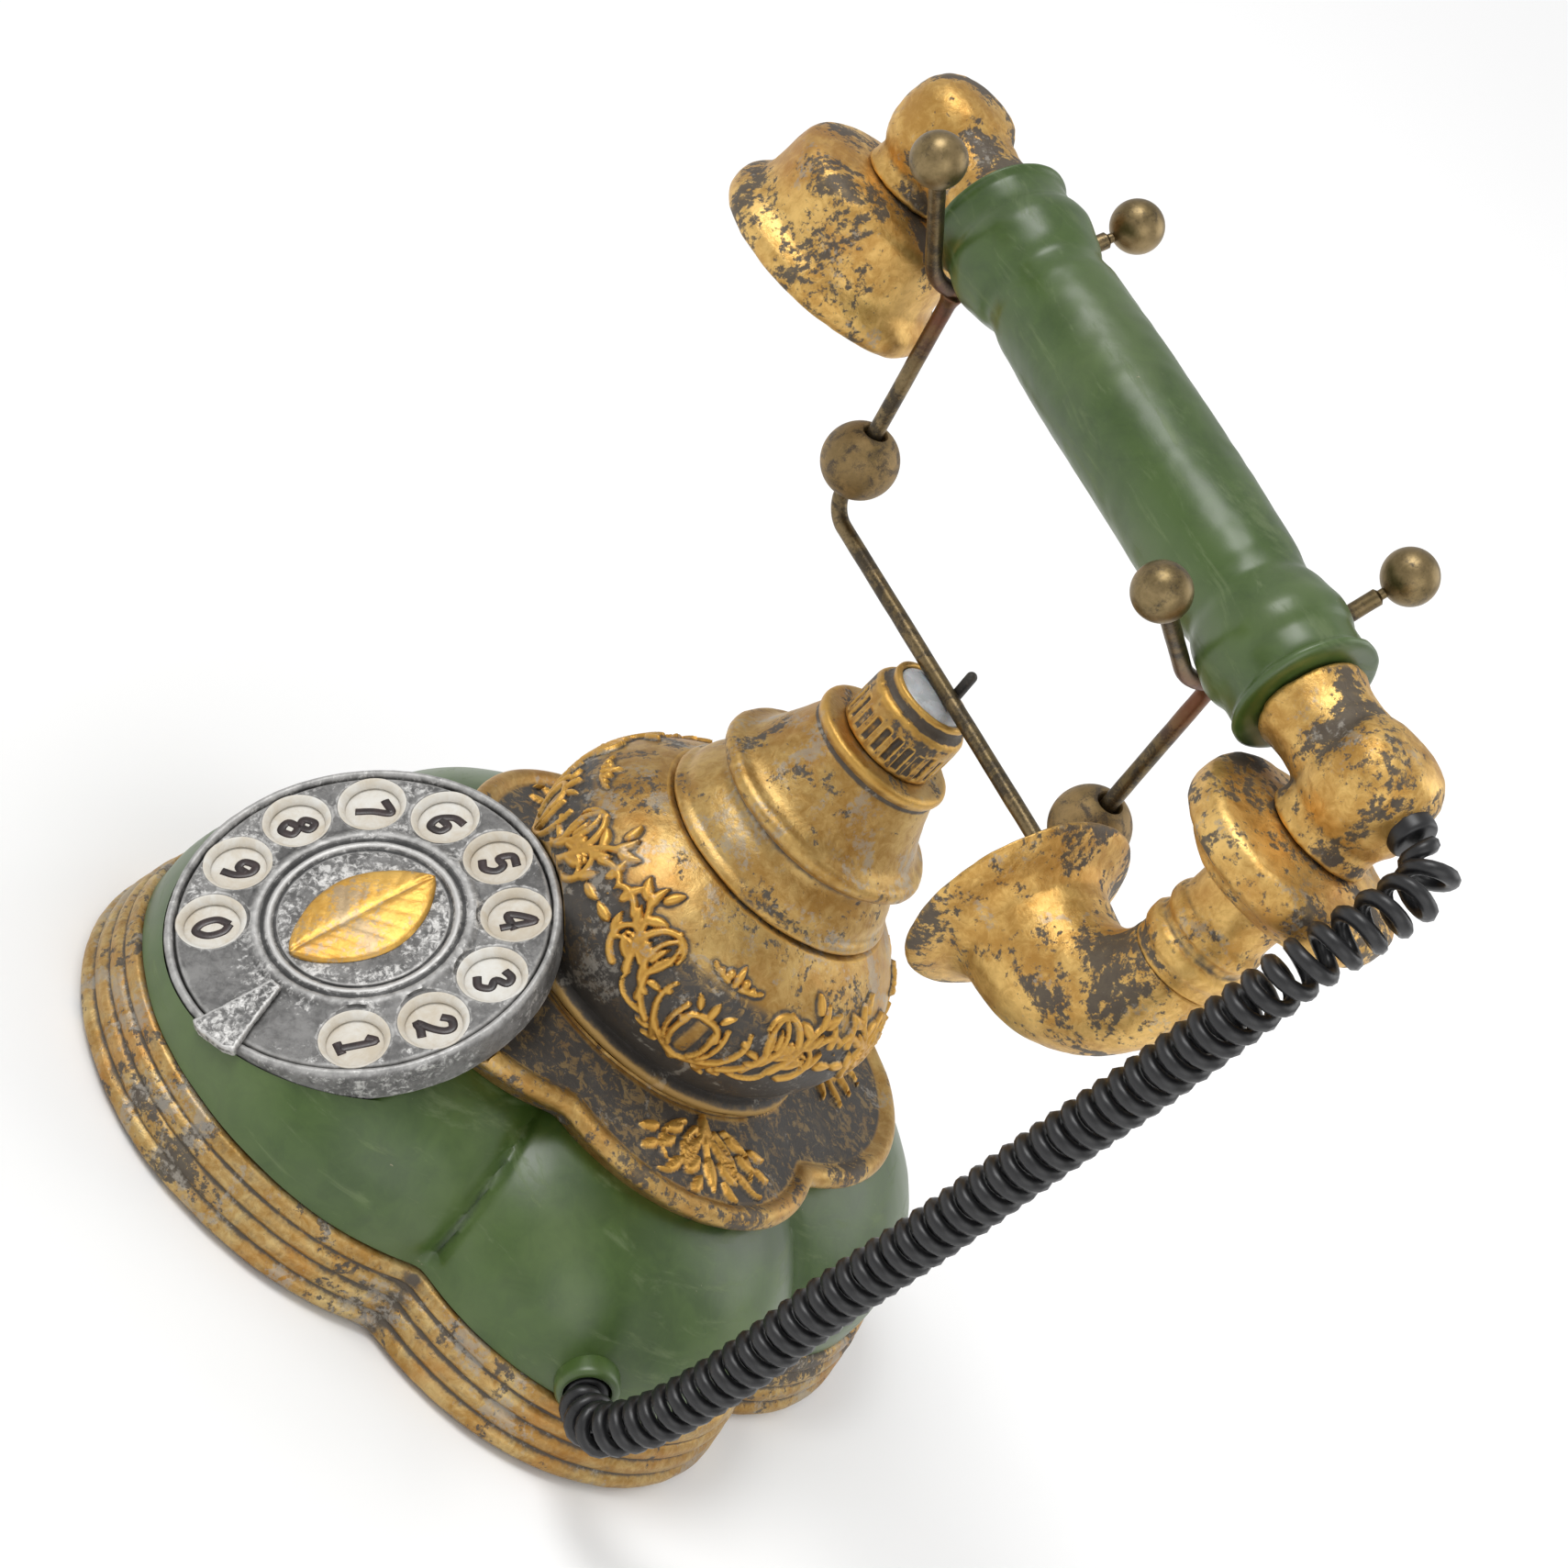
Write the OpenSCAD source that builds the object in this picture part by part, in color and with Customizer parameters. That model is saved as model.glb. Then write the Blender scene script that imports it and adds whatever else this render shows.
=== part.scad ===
// Ornamental desk telephone: lobed body, turret, wire cradle, rotary dial and hanging-horn handset.
// Millimetres, +Z up. Origin: middle of the base, on the surface it stands on. The dial faces -Y.

/* [Base] */
// Distance of the front and back lobe centres from the middle
lobe_y = 39.5; // [38:0.5:41]
// Radius of the front and back lobes at the floor
lobe_ry = 56.8; // [56:0.2:58]
// Distance of the two side lobe centres from the middle
lobe_x = 31; // [30:0.5:32]
// Radius of the side lobes at the floor
lobe_rx = 51.3; // [50.5:0.1:52]
// Top of the gold stepped rim
rim_top = 16.5; // [16:0.1:17]
// Flat top of the green body, under the collar
body_top = 50; // [49:0.5:51]
// Wall of the green body
body_wall = 4.5; // [3:0.5:5]
// Size of the collar's lobes as a share of the base's
collar_share = 0.7; // [0.66:0.01:0.74]

/* [Turret] */
// Height where the bulb stands on the collar
bulb_foot = 57.5; // [57:0.5:58]
// Widest radius of the bulb
bulb_r = 39; // [38:0.2:39.6]
// Height of the bulb's widest ring
bulb_mid = 76; // [75:0.5:77]
// Height where the stepped cone stands on the bulb
cone_foot = 95; // [94.5:0.5:95.5]
// Radius of the fluted cap
cap_r = 10.6; // [10:0.1:11]
// Number of flutes on the cap
flutes = 24; // [16:2:30]

/* [Dial] */
// Outer radius of the dial case
dial_r = 37; // [36:0.5:37.5]
// How far the dial's centre lies in front of the middle
dial_out = 65; // [64:0.5:66]
// Height of the dial's centre
dial_up = 48; // [47:0.5:49]
// Lean of the dial's face back from flat
dial_lean = 42; // [40:1:44]
// Radius of the circle of finger holes
holes_r = 28.2; // [27.8:0.1:28.4]
// Radius of one finger hole
hole_r = 6; // [5:0.1:6.2]
// Clockwise place of the gap in the digits, from the dial's top
gap_at = 150; // [150:1:151]

/* [Cradle] */
// Radius of the cradle wire
wire_r = 1.6; // [1.4:0.1:1.7]
// Height of the cradle's bar
bar_up = 143.3; // [143:0.1:144]
// Turn of the cradle about the turret
cradle_yaw = 14; // [10:1:16]
// Forward lean of the two uprights
cradle_lean = 16.5; // [15:0.5:18]
// Outward splay of the uprights
splay = 3.4; // [2:0.2:5]
// Length of an upright, from the bar to the bottom of its yoke
upright = 54.2; // [53:0.2:55]
// Radius of the round bottom of a yoke
yoke_r = 14.9; // [14.8:0.1:15.4]
// Radius of a ball on a yoke's end
ball_r = 5.2; // [4.8:0.1:5.4]
// Radius of a loose bead
bead_r = 7.6; // [7.2:0.1:7.8]
// Radius of the hole through a bead
bead_bore = 2.3; // [2.2:0.1:2.6]

/* [Handset] */
// Half the distance between the two knobs' centre lines
knob_x = 78; // [77:0.5:79]
// Half the length of the green grip
grip_half = 58; // [57.5:0.5:58.5]
// Radius of a gold knob
knob_r = 11.2; // [10.8:0.2:11.6]
// Depth of the horn's centre line below the grip's
horn_drop = 66; // [65:0.5:67]
// Distance of the horn's rim from the tube's centre line
horn_reach = 29.5; // [29:0.5:30]
// Radius of the horn's rim
horn_r = 22; // [21:0.5:22]

/* [Cord] */
// Outer radius of the curly cord
coil_r = 5.3; // [5:0.1:5.5]

/* [Hidden] */
$fn = 72;
fit = 0.3;
deck_down = 4.5;
ring_in = 4.2;
foot_pad = 1;
cover_top = 3.2;
dome_foot = 20;
dome_rise = 34;
rod_r = 2.4;
case_deep = 8;
spindle_r = 3;
digit_step = 30;
stop_at = gap_at - 3;
bend_r = 5;
ear_out = 1.3;
bent_r = wire_r + 0.05;
bend_leg = bend_r * tan(45 - splay / 2);
bead_up = 12.6;
yoke_turn = 47;
arm_long = 27;
yoke_leans = [2, 16];
bar_ends = [-45.3, 43.1];
post_spots = [[-31, -70.5], [31, -70.5], [-31, 70.5], [31, 70.5]];
pad_spots = [[0, 0], [0, -76], [62, 0], [0, 76], [-62, 0]];
screw_r = 1.4;
cord_spot = 16.7;
cord_up = 22;

// Outline of the stepped rim: [inset from the lobe's radius, height]
rim_steps = [[0.8, foot_pad], [0, 2], [0, 3.6], [0.9, 4.6], [1.4, 5], [0.8, 5.6], [0.7, 7.6], [1.5, 8.6],
    [2.1, 9], [1.5, 9.6], [1.5, 11.4], [2.4, 12.4], [3, 12.7], [2.4, 13.2], [2.6, 14.8], [3.4, rim_top]];
// Outline of one collar flap
collar_steps = [[1.4, body_top], [0.3, body_top + 0.6], [0, body_top + 1.8], [0.3, body_top + 3],
    [1.8, body_top + 3.6], [4.2, body_top + 3.5], [5.4, body_top + 3.2], [30, body_top + 6]];
// Outline of the stepped cone: [radius, height above its foot]
cone_steps = [[0, 0], [25.4, 0], [25.9, 1.1], [25, 2], [24.4, 3], [23.8, 5], [22.4, 7.4], [20.8, 9.6],
    [20.4, 11], [21, 11.9], [22.8, 12.3], [23.7, 13.4], [23.7, 14.8], [22.8, 15.9], [21, 16.5],
    [19.6, 17.7], [18, 20.4], [16, 24.6], [14.6, 28.4], [14, 29.4], [14.6, 29.9], [15.1, 31],
    [14.8, 32], [13.6, 32.5], [0, 32.5]];

// The cord's route: out of the handset's knob, over the mouthpiece disc, down to the side lobe.
cord_route = [[98.9, 2.6, 211.4], [102, 3.2, 211.4], [105.8, 1.8, 209.4], [108.6, -2.6, 204.8],
    [110.8, -7.6, 198], [111.5, -10.7, 190], [110.9, -11.3, 179], [108, -10.4, 156], [105, -10.6, 133],
    [102, -11.2, 105], [99, -12, 81], [97, -13, 56], [94, -14.5, 37], [89.5, -16.5, 25.5],
    [84, -16, 22.2], [79.8, -14.7, 22]];

// ---- points and frames worked out from the sizes above
function unit(v) = v / norm(v);
// A point of the cradle's leaning plane in its own upright frame: across, back, up
function leaned(x, u) = [x, -u * sin(cradle_lean), u * cos(cradle_lean)];
// Where upright number i ends, under its yoke
function yoke_foot(i) = leaned(bar_ends[i] + (2 * i - 1) * upright * tan(splay), upright);
// The middle of the yoke's round bottom, on the grip's centre line
function yoke_mid(i) = yoke_foot(i) + yoke_r * [0, -sin(yoke_leans[i]), cos(yoke_leans[i])];
// From the cradle's frame to the part's
function from_cradle(p) = [p[0] * cos(cradle_yaw) - p[1] * sin(cradle_yaw),
    p[0] * sin(cradle_yaw) + p[1] * cos(cradle_yaw), p[2] + bar_up];
left_mid = from_cradle(yoke_mid(0));
right_mid = from_cradle(yoke_mid(1));
hand_line = unit(right_mid - left_mid);
hand_yaw = atan2(hand_line[1], hand_line[0]);
hand_pitch = -asin(hand_line[2]);
// The grip's middle lies 53.6 mm from the left yoke
hand_mid = left_mid + 53.6 * hand_line;

module in_cradle() { translate([0, 0, bar_up]) rotate([0, 0, cradle_yaw]) children(); }
module in_yoke(i) { in_cradle() translate(yoke_mid(i)) rotate([yoke_leans[i], 0, 0]) children(); }
module in_upright(i) {
    in_cradle() rotate([cradle_lean, 0, 0]) translate([bar_ends[i], 0, 0])
        rotate([0, (2 * i - 1) * splay, 0]) children();
}
module in_hand() { translate(hand_mid) rotate([0, hand_pitch, hand_yaw]) children(); }
module in_dial() { translate([0, -dial_out, dial_up]) rotate([dial_lean, 0, 0]) children(); }
module in_boss() {
    translate([lobe_x, 0, cord_up]) rotate([0, 0, -cord_spot]) rotate([0, 90, 0]) children();
}
module post_places() { for (s = post_spots) translate([s[0], s[1], 0]) children(); }

// One cylinder at each lobe, smaller than the base's lobes by inset
module lobes(inset, z0, z1, share = 1) {
    for (s = [-1, 1]) {
        translate([s * lobe_x * share, 0, z0]) cylinder(r = lobe_rx * share - inset, h = z1 - z0);
        translate([0, s * lobe_y * share, z0]) cylinder(r = lobe_ry * share - inset, h = z1 - z0);
    }
}
// The same turned profile at each lobe: points are [inset from the lobe's radius, height]
module turned_lobe(r, steps) {
    rotate_extrude() polygon(concat([[0, steps[0][1]]], [for (p = steps) [r - p[0], p[1]]],
        [[0, steps[len(steps) - 1][1]]]));
}
module turned_lobes(steps, share = 1) {
    for (s = [-1, 1]) {
        translate([s * lobe_x * share, 0, 0]) turned_lobe(lobe_rx * share, steps);
        translate([0, s * lobe_y * share, 0]) turned_lobe(lobe_ry * share, steps);
    }
}
// A quarter-ellipse dome over one lobe, cut flat at top
module dome(r, foot, rise, top) {
    last = asin((top - dome_foot) / rise);
    rotate_extrude() polygon(concat([[0, foot], [r, foot]],
        [for (i = [0:8]) [r * cos(last * i / 8), dome_foot + rise * sin(last * i / 8)]], [[0, top]]));
}
module domes(inset, foot, rise, top) {
    for (s = [-1, 1]) {
        translate([s * lobe_x, 0, 0]) dome(lobe_rx - inset, foot, rise, top);
        translate([0, s * lobe_y, 0]) dome(lobe_ry - inset, foot, rise, top);
    }
}
module rod_hole() { translate([0, 0, -1]) cylinder(r = rod_r + fit, h = 200); }
// The round seat that the dial case stands in
module dial_seat() {
    in_dial() {
        translate([0, 0, -case_deep]) cylinder(r = dial_r, h = 60);
        translate([0, 0, -20]) cylinder(r = 14, h = 30);
    }
}
// A round solid swept along points, with one radius for each point; the path never runs along Y
module swept(points, radii, sides) {
    n = len(points);
    dirs = [for (i = [0:n - 1]) unit(points[min(i + 1, n - 1)] - points[max(i - 1, 0)])];
    rings = [for (i = [0:n - 1]) let (a = unit(cross([0, 1, 0], dirs[i])), b = cross(dirs[i], a))
        for (k = [0:sides - 1]) points[i] + radii[i] * (cos(360 * k / sides) * a + sin(360 * k / sides) * b)];
    walls = [for (i = [0:n - 2]) for (k = [0:sides - 1])
        let (m = (k + 1) % sides) each [[i * sides + k, (i + 1) * sides + k, i * sides + m],
            [i * sides + m, (i + 1) * sides + k, (i + 1) * sides + m]]];
    polyhedron(rings, concat([[for (k = [0:sides - 1]) k]], walls,
        [[for (k = [sides - 1:-1:0]) (n - 1) * sides + k]]));
}

// ---- base
module felt_pads() {
    color("dimgray") for (s = pad_spots) translate([s[0], s[1], 0]) cylinder(r = 7, h = foot_pad);
}
module cover_screws() {
    color("silver") post_places() {
        translate([0, 0, foot_pad + 0.2]) cylinder(r = 3, h = 1);
        translate([0, 0, foot_pad + 1.2]) cylinder(r = screw_r, h = 7);
    }
}
module bottom_cover() {
    color("saddlebrown") difference() {
        lobes(5.3, foot_pad, cover_top);
        post_places() {
            translate([0, 0, foot_pad - 0.5]) cylinder(r = 3.3, h = 1.7);
            cylinder(r = screw_r + fit, h = 10);
        }
    }
}
module base_plinth() {
    color("goldenrod") {
        difference() {
            turned_lobes(rim_steps);
            lobes(5, 0, cover_top);
            lobes(9, 0, rim_top - deck_down);
            lobes(18, 0, rim_top + 1);
            in_boss() translate([0, 0, 40]) cylinder(r = 6.6, h = 14);
        }
        post_places() difference() {
            translate([0, 0, cover_top]) cylinder(r = 4, h = rim_top - cover_top - 1);
            cylinder(r = screw_r, h = 11);
        }
    }
}
module body_shell() {
    color("darkolivegreen") difference() {
        union() {
            domes(ring_in, rim_top, dome_rise, body_top);
            translate([0, 0, rim_top]) cylinder(r = 33, h = body_top - rim_top);
        }
        domes(ring_in + body_wall, rim_top - 1, dome_rise - 5, body_top - 5);
        translate([0, 0, rim_top - 1]) cylinder(r = 9, h = body_top - rim_top - 6);
        rod_hole();
        dial_seat();
        in_boss() cylinder(r = 6.3, h = 70);
    }
}
module collar() {
    color("goldenrod") difference() {
        union() {
            turned_lobes(collar_steps, collar_share);
            translate([0, 0, body_top]) cylinder(r = 34.5, h = bulb_foot - body_top);
        }
        rod_hole();
        dial_seat();
    }
}
module cord_boss() {
    color("darkolivegreen") in_boss() rotate_extrude()
        polygon([[4.2, 42], [6.3, 42], [6.3, 48.8], [6, 49.8], [5.2, 50.4], [4.2, 50.4]]);
}
module base_cord_gland() {
    color("black") in_boss() rotate_extrude()
        polygon([[1.6, 41], [4.2, 41], [4.2, 50.2], [3, 50.6], [1.6, 50.6]]);
}

// ---- turret
module turret_bulb() {
    low = [for (i = [0:6]) let (a = 34 - 34 * i / 6)
        [bulb_r * cos(a), bulb_mid - 28 * sin(a)]];
    high = [for (i = [1:8]) let (a = 48.2 * i / 8)
        [bulb_r * cos(a), bulb_mid + (cone_foot - bulb_mid) * sin(a) / sin(48.2)]];
    color("goldenrod") difference() {
        rotate_extrude() polygon(concat([[0, bulb_foot], [34.4, bulb_foot], [35.2, bulb_foot + 0.7],
            [35.2, bulb_foot + 1.6], [34.2, bulb_foot + 2.3]], low, high, [[0, cone_foot]]));
        rotate_extrude() polygon([[0, bulb_foot - 1], [29, bulb_foot - 1], [34.5, bulb_mid - 6],
            [34.5, bulb_mid + 3], [27, cone_foot - 6], [18, cone_foot - 3], [18, cone_foot + 1],
            [0, cone_foot + 1]]);
        dial_seat();
    }
}
module turret_cone() {
    color("goldenrod") difference() {
        rotate_extrude() polygon(concat([for (p = cone_steps) [p[0], cone_foot + p[1]]]));
        translate([0, 0, cone_foot - 1]) cylinder(r1 = 18.5, r2 = 9, h = 26);
        rod_hole();
    }
}
module turret_cap() {
    foot = cone_foot + 32.5;
    color("goldenrod") difference() {
        rotate_extrude() polygon([[0, foot], [cap_r - 0.2, foot], [cap_r, foot + 0.8],
            [cap_r, foot + 9], [cap_r - 0.5, foot + 10.2], [8.9, foot + 10.8], [8.6, foot + 11.6],
            [8.9, foot + 12.8], [8.6, foot + 13.5], [7.4, foot + 13.6], [7.2, foot + 11.8],
            [0, foot + 11.8]]);
        for (i = [0:flutes - 1]) rotate([0, 0, i * 360 / flutes])
            translate([cap_r + 0.3, 0, foot + 1.2]) cylinder(r = 0.8, h = 4.6, $fn = 24);
        translate([0, 0, foot - 1]) cylinder(r = rod_r, h = 8);
    }
}
module turret_rod() {
    color("silver") translate([0, 0, 37]) cylinder(r = rod_r, h = cone_foot + 38 - 37);
}
module rod_washer() {
    color("silver") translate([0, 0, 41.98]) difference() {
        cylinder(r = 7, h = 1);
        translate([0, 0, -1]) cylinder(r = rod_r + 0.1, h = 3);
    }
}
module rod_nut() {
    color("silver") translate([0, 0, 37.9]) difference() {
        cylinder(r = 4.6, h = 4, $fn = 6);
        translate([0, 0, -1]) cylinder(r = rod_r, h = 6);
    }
}
module glue_plug() {
    color("gainsboro") difference() {
        translate([0, 0, cone_foot + 44.3]) rotate_extrude()
            polygon([[0, 0], [7.2, 0], [7.3, 1.2], [5, 2.3], [0, 2.7]]);
        cradle_bar();
        tie_pin_shape();
    }
}
module tie_pin_shape() {
    in_cradle() translate([2, 3, -6]) rotate([8, 0, 0]) {
        cylinder(r = 1.1, h = 11.5);
        translate([0, 0, 11.5]) sphere(r = 1.1);
    }
}
module tie_pin() {
    color("dimgray") difference() {
        tie_pin_shape();
        cylinder(r = 12, h = cone_foot + 44.3);
        cradle_bar();
    }
}

// ---- cradle
module cradle_bar() {
    in_cradle() rotate([0, 90, 0]) translate([0, 0, bar_ends[0] + bend_leg - fit])
        cylinder(r = wire_r, h = bar_ends[1] - bar_ends[0] - 2 * bend_leg + 2 * fit);
}
module yoke(i) {
    in_yoke(i) rotate([0, 90, 0]) rotate([0, 0, -yoke_turn]) rotate_extrude(angle = 2 * yoke_turn)
        translate([yoke_r, 0]) circle(r = bent_r);
    for (s = [-1, 1]) in_yoke_arm(i, s) translate([0, 0, -fit])
        cylinder(r = wire_r, h = arm_long - ball_r + 2 + fit);
}
// The frame of one straight arm: s is -1 for the front arm, 1 for the back one
module in_yoke_arm(i, s) {
    in_yoke(i) rotate([s * yoke_turn, 0, 0]) translate([0, 0, -yoke_r]) rotate([-s * 90, 0, 0]) children();
}
module yoke_ball(i, s) {
    color("darkgoldenrod") in_yoke_arm(i, s) difference() {
        translate([0, 0, arm_long]) sphere(r = ball_r);
        cylinder(r = wire_r, h = arm_long - ball_r + 2);
    }
}
module cradle_wire() {
    color("darkgoldenrod") difference() {
        union() {
            cradle_bar();
            for (i = [0, 1]) let (out = 2 * i - 1) {
                in_cradle() rotate([cradle_lean, 0, 0]) translate([bar_ends[i] - out * bend_leg, 0, bend_r])
                    rotate([90, 0, 0]) rotate([0, 0, i == 0 ? 180 + splay : 270])
                        rotate_extrude(angle = 90 - splay) translate([bend_r, 0]) circle(r = bent_r);
                in_upright(i) translate([0, 0, bend_leg - fit])
                    cylinder(r = wire_r, h = upright / cos(splay) - bend_leg - 0.7);
            }
        }
        for (i = [0, 1]) yoke(i);
    }
}
module yoke_left() { color("darkgoldenrod") yoke(0); }
module yoke_right() { color("darkgoldenrod") yoke(1); }
module bead(i) {
    color("darkgoldenrod") in_upright(i) translate([0, 0, bead_up]) difference() {
        sphere(r = bead_r);
        translate([0, 0, -bead_r]) cylinder(r = bead_bore, h = 2 * bead_r);
    }
}

// ---- dial: the frame's Z runs out of the face, its Y up the face
module dial_case() {
    color("dimgray") in_dial() difference() {
        rotate_extrude() polygon([[0, -case_deep], [dial_r - 0.4, -case_deep], [dial_r, -case_deep + 0.4],
            [dial_r, -0.8], [dial_r - 0.6, 0], [dial_r - 1.4, 0], [dial_r - 1.9, -0.5],
            [dial_r - 1.9, -3.4], [0, -3.4]]);
        translate([0, 0, -9]) cylinder(r = 11.5, h = 3.6);
        translate([0, 0, -9]) cylinder(r = 4.2, h = 9);
    }
    color("dimgray") in_dial() difference() {
        translate([0, 0, -17]) cylinder(r = 13.5, h = 17 - case_deep);
        translate([0, 0, -18]) cylinder(r = 11.5, h = 12);
    }
}
module hub_cover() {
    color("silver") in_dial() difference() {
        translate([0, 0, -17]) cylinder(r = 11.5, h = 1.5);
        translate([0, 0, -18]) cylinder(r = spindle_r + fit, h = 4);
    }
}
module spindle_bush() {
    color("goldenrod") in_dial() difference() {
        translate([0, 0, -6.2]) cylinder(r = 4.2, h = 3.6);
        translate([0, 0, -7]) cylinder(r = spindle_r + 0.05, h = 6);
    }
}
module dial_spindle() {
    color("silver") in_dial() translate([0, 0, -17.5]) cylinder(r = spindle_r, h = 16.6);
}
module return_spring() {
    turns = 5;
    pitch = 1.35;
    steps = 24 * turns;
    rim = [for (i = [0:steps]) let (a = 360 * turns * i / steps, r = 4 + pitch * turns * i / steps)
        [r * cos(a), r * sin(a)]];
    back = [for (i = [steps:-1:0]) let (a = 360 * turns * i / steps, r = 3.6 + pitch * turns * i / steps)
        [r * cos(a), r * sin(a)]];
    color("silver") in_dial() translate([0, 0, -14]) linear_extrude(height = 5) polygon(concat(rim, back));
}
module number_plate() {
    color("whitesmoke") in_dial() translate([0, 0, -3.4]) difference() {
        cylinder(r = dial_r - 2.2, h = 0.8);
        translate([0, 0, -1]) cylinder(r = 4.4, h = 3);
    }
}
// Place of digit number k, counted from 1 on the dial's right
module at_digit(k) {
    rotate([0, 0, -(gap_at - digit_step * (k + 0.5))]) translate([0, holes_r, 0]) children();
}
module finger_wheel() {
    color("dimgray") in_dial() difference() {
        rotate_extrude() polygon([[spindle_r, -2.3], [34.8, -2.3], [34.8, -0.9], [34.4, -0.5],
            [21.6, -0.5], [21.2, 0.1], [20.2, 0.3], [19.4, 0.1], [19, -0.4], [18.6, -0.4],
            [18.2, 0], [17.4, 0.1], [16.8, -0.3], [16.6, -0.9], [spindle_r, -0.9]]);
        for (k = [1:10]) at_digit(k) translate([0, 0, -4]) cylinder(r = hole_r, h = 8);
    }
}
module center_disc() {
    color("gray") in_dial() translate([0, 0, -0.9]) cylinder(r = 16.3, h = 0.6);
}
// A plain pointed leaf: the overlap of two discs
module dial_emblem() {
    color("goldenrod") in_dial() rotate([0, 0, 19]) translate([0, 0, -0.3]) intersection() {
        translate([-7.2, 0, 0]) cylinder(r = 17.4, h = 1.6);
        translate([7.2, 0, 0]) cylinder(r = 17.4, h = 1.6);
    }
}
module finger_stop() {
    color("gray") in_dial() rotate([0, 0, 180 - stop_at]) {
        translate([0, 0, 0.02]) linear_extrude(height = 1.28)
            polygon([[-1.2, -21.8], [1.2, -21.8], [3.2, -30], [5.3, -37.5], [-5.3, -37.5], [-3.2, -30]]);
        translate([0, 0, -0.8]) linear_extrude(height = 2.1)
            polygon([[-5.3, -37.1], [5.3, -37.1], [5.4, -37.9], [3.2, -38.7], [-3.2, -38.7], [-5.4, -37.9]]);
    }
}

// ---- handset: the frame's X runs along the grip to the mouthpiece
module turned_along_x(steps) { rotate([90, 0, 90]) rotate_extrude() polygon(steps); }
module grip() {
    half = [[11.4, 58], [13, 57.8], [13.8, 57.1], [13.4, 56.3], [12.7, 55.8], [12.6, 51.2], [13.5, 49.4],
        [13.9, 46.6], [13.2, 43.4], [12.6, 40.4], [11.6, 38], [11.8, 35.6], [12.4, 33], [12.7, 20]];
    color("darkolivegreen") in_hand() difference() {
        turned_along_x(concat([[0, -grip_half]], [for (p = half) [p[0], -p[1] * grip_half / 58]],
            [for (i = [len(half) - 1:-1:0]) [half[i][0], half[i][1] * grip_half / 58]], [[0, grip_half]]));
        rod_bore();
    }
}
module rod_bore() { rotate([0, 90, 0]) translate([0, 0, -knob_x + 4]) cylinder(r = 2.8, h = 2 * knob_x - 8); }
module tie_rod() { color("silver") in_hand() rod_bore(); }
// Knob with a domed top, a post below and a neck towards the grip, side -1 at the ear, 1 at the mouth
module elbow(side, post_r, post_end) {
    color("goldenrod") in_hand() difference() {
        union() {
            translate([side * knob_x, 0, 0]) {
                sphere(r = knob_r);
                translate([0, 0, post_end]) cylinder(r = post_r, h = -post_end);
                translate([0, 0, 4]) cylinder(r1 = knob_r - 0.6, r2 = 6.5, h = 7.4);
            }
            mirror([side < 0 ? 1 : 0, 0, 0]) turned_along_x([[0, grip_half], [10.6, grip_half],
                [9.4, grip_half + 3], [8.6, grip_half + 7], [9.4, knob_x - 6], [8, knob_x], [0, knob_x]]);
        }
        rod_bore();
        if (side > 0) translate([knob_x + 8, 0, 2.1]) rotate([0, 90, 0]) cylinder(r = 4.4, h = 10);
    }
}
module ear_elbow() { elbow(-1, 9, -12); }
module mouth_elbow() { elbow(1, 9.6, -12); }
module ear_cup() {
    color("goldenrod") in_hand() translate([-knob_x - ear_out, 0, 0]) difference() {
        rotate_extrude() polygon([[0, -12], [9.6, -12], [14, -12.8], [18.4, -14.4], [20, -16.6],
            [20.2, -25], [20.8, -27.4], [22.6, -29.4], [23.8, -31], [23.8, -33.4], [22.8, -35], [0, -35]]);
        rotate_extrude() polygon([[0, -36], [21.2, -36], [20.4, -34], [18.2, -28.4], [17.6, -26.4],
            [17.6, -18], [12, -15.4], [0, -15.4]]);
    }
}
module ear_cap() {
    color("dimgray") in_hand() translate([-knob_x - ear_out, 0, -28.4]) difference() {
        cylinder(r = 17.6, h = 2);
        translate([0, 0, -1]) cylinder(r = 1.1, h = 4, $fn = 24);
        for (ring = [1, 2]) for (k = [0:6 * ring - 1]) rotate([0, 0, k * 60 / ring])
            translate([5 * ring, 0, -1]) cylinder(r = 1.1, h = 4, $fn = 24);
    }
}
module mouth_disc() {
    color("goldenrod") in_hand() translate([knob_x, 0, 0]) rotate_extrude() polygon([[0, -12], [10.6, -12],
        [13.4, -13], [19.6, -14], [21, -15.6], [21.2, -19.4], [20.2, -21.2], [17, -22.4],
        [15.6, -24.8], [11.4, -26], [0, -26]]);
}
module mouth_tube() {
    color("goldenrod") in_hand() translate([knob_x, 0, 0]) rotate_extrude() polygon([[0, -26], [9.4, -26],
        [8.7, -28], [8.6, -33.4], [9.6, -34.6], [9.7, -36.6], [8.8, -37.8], [8.8, -39], [9.9, -40],
        [9.9, -42.2], [9, -43.4], [9, -46], [0, -46]]);
}
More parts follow.
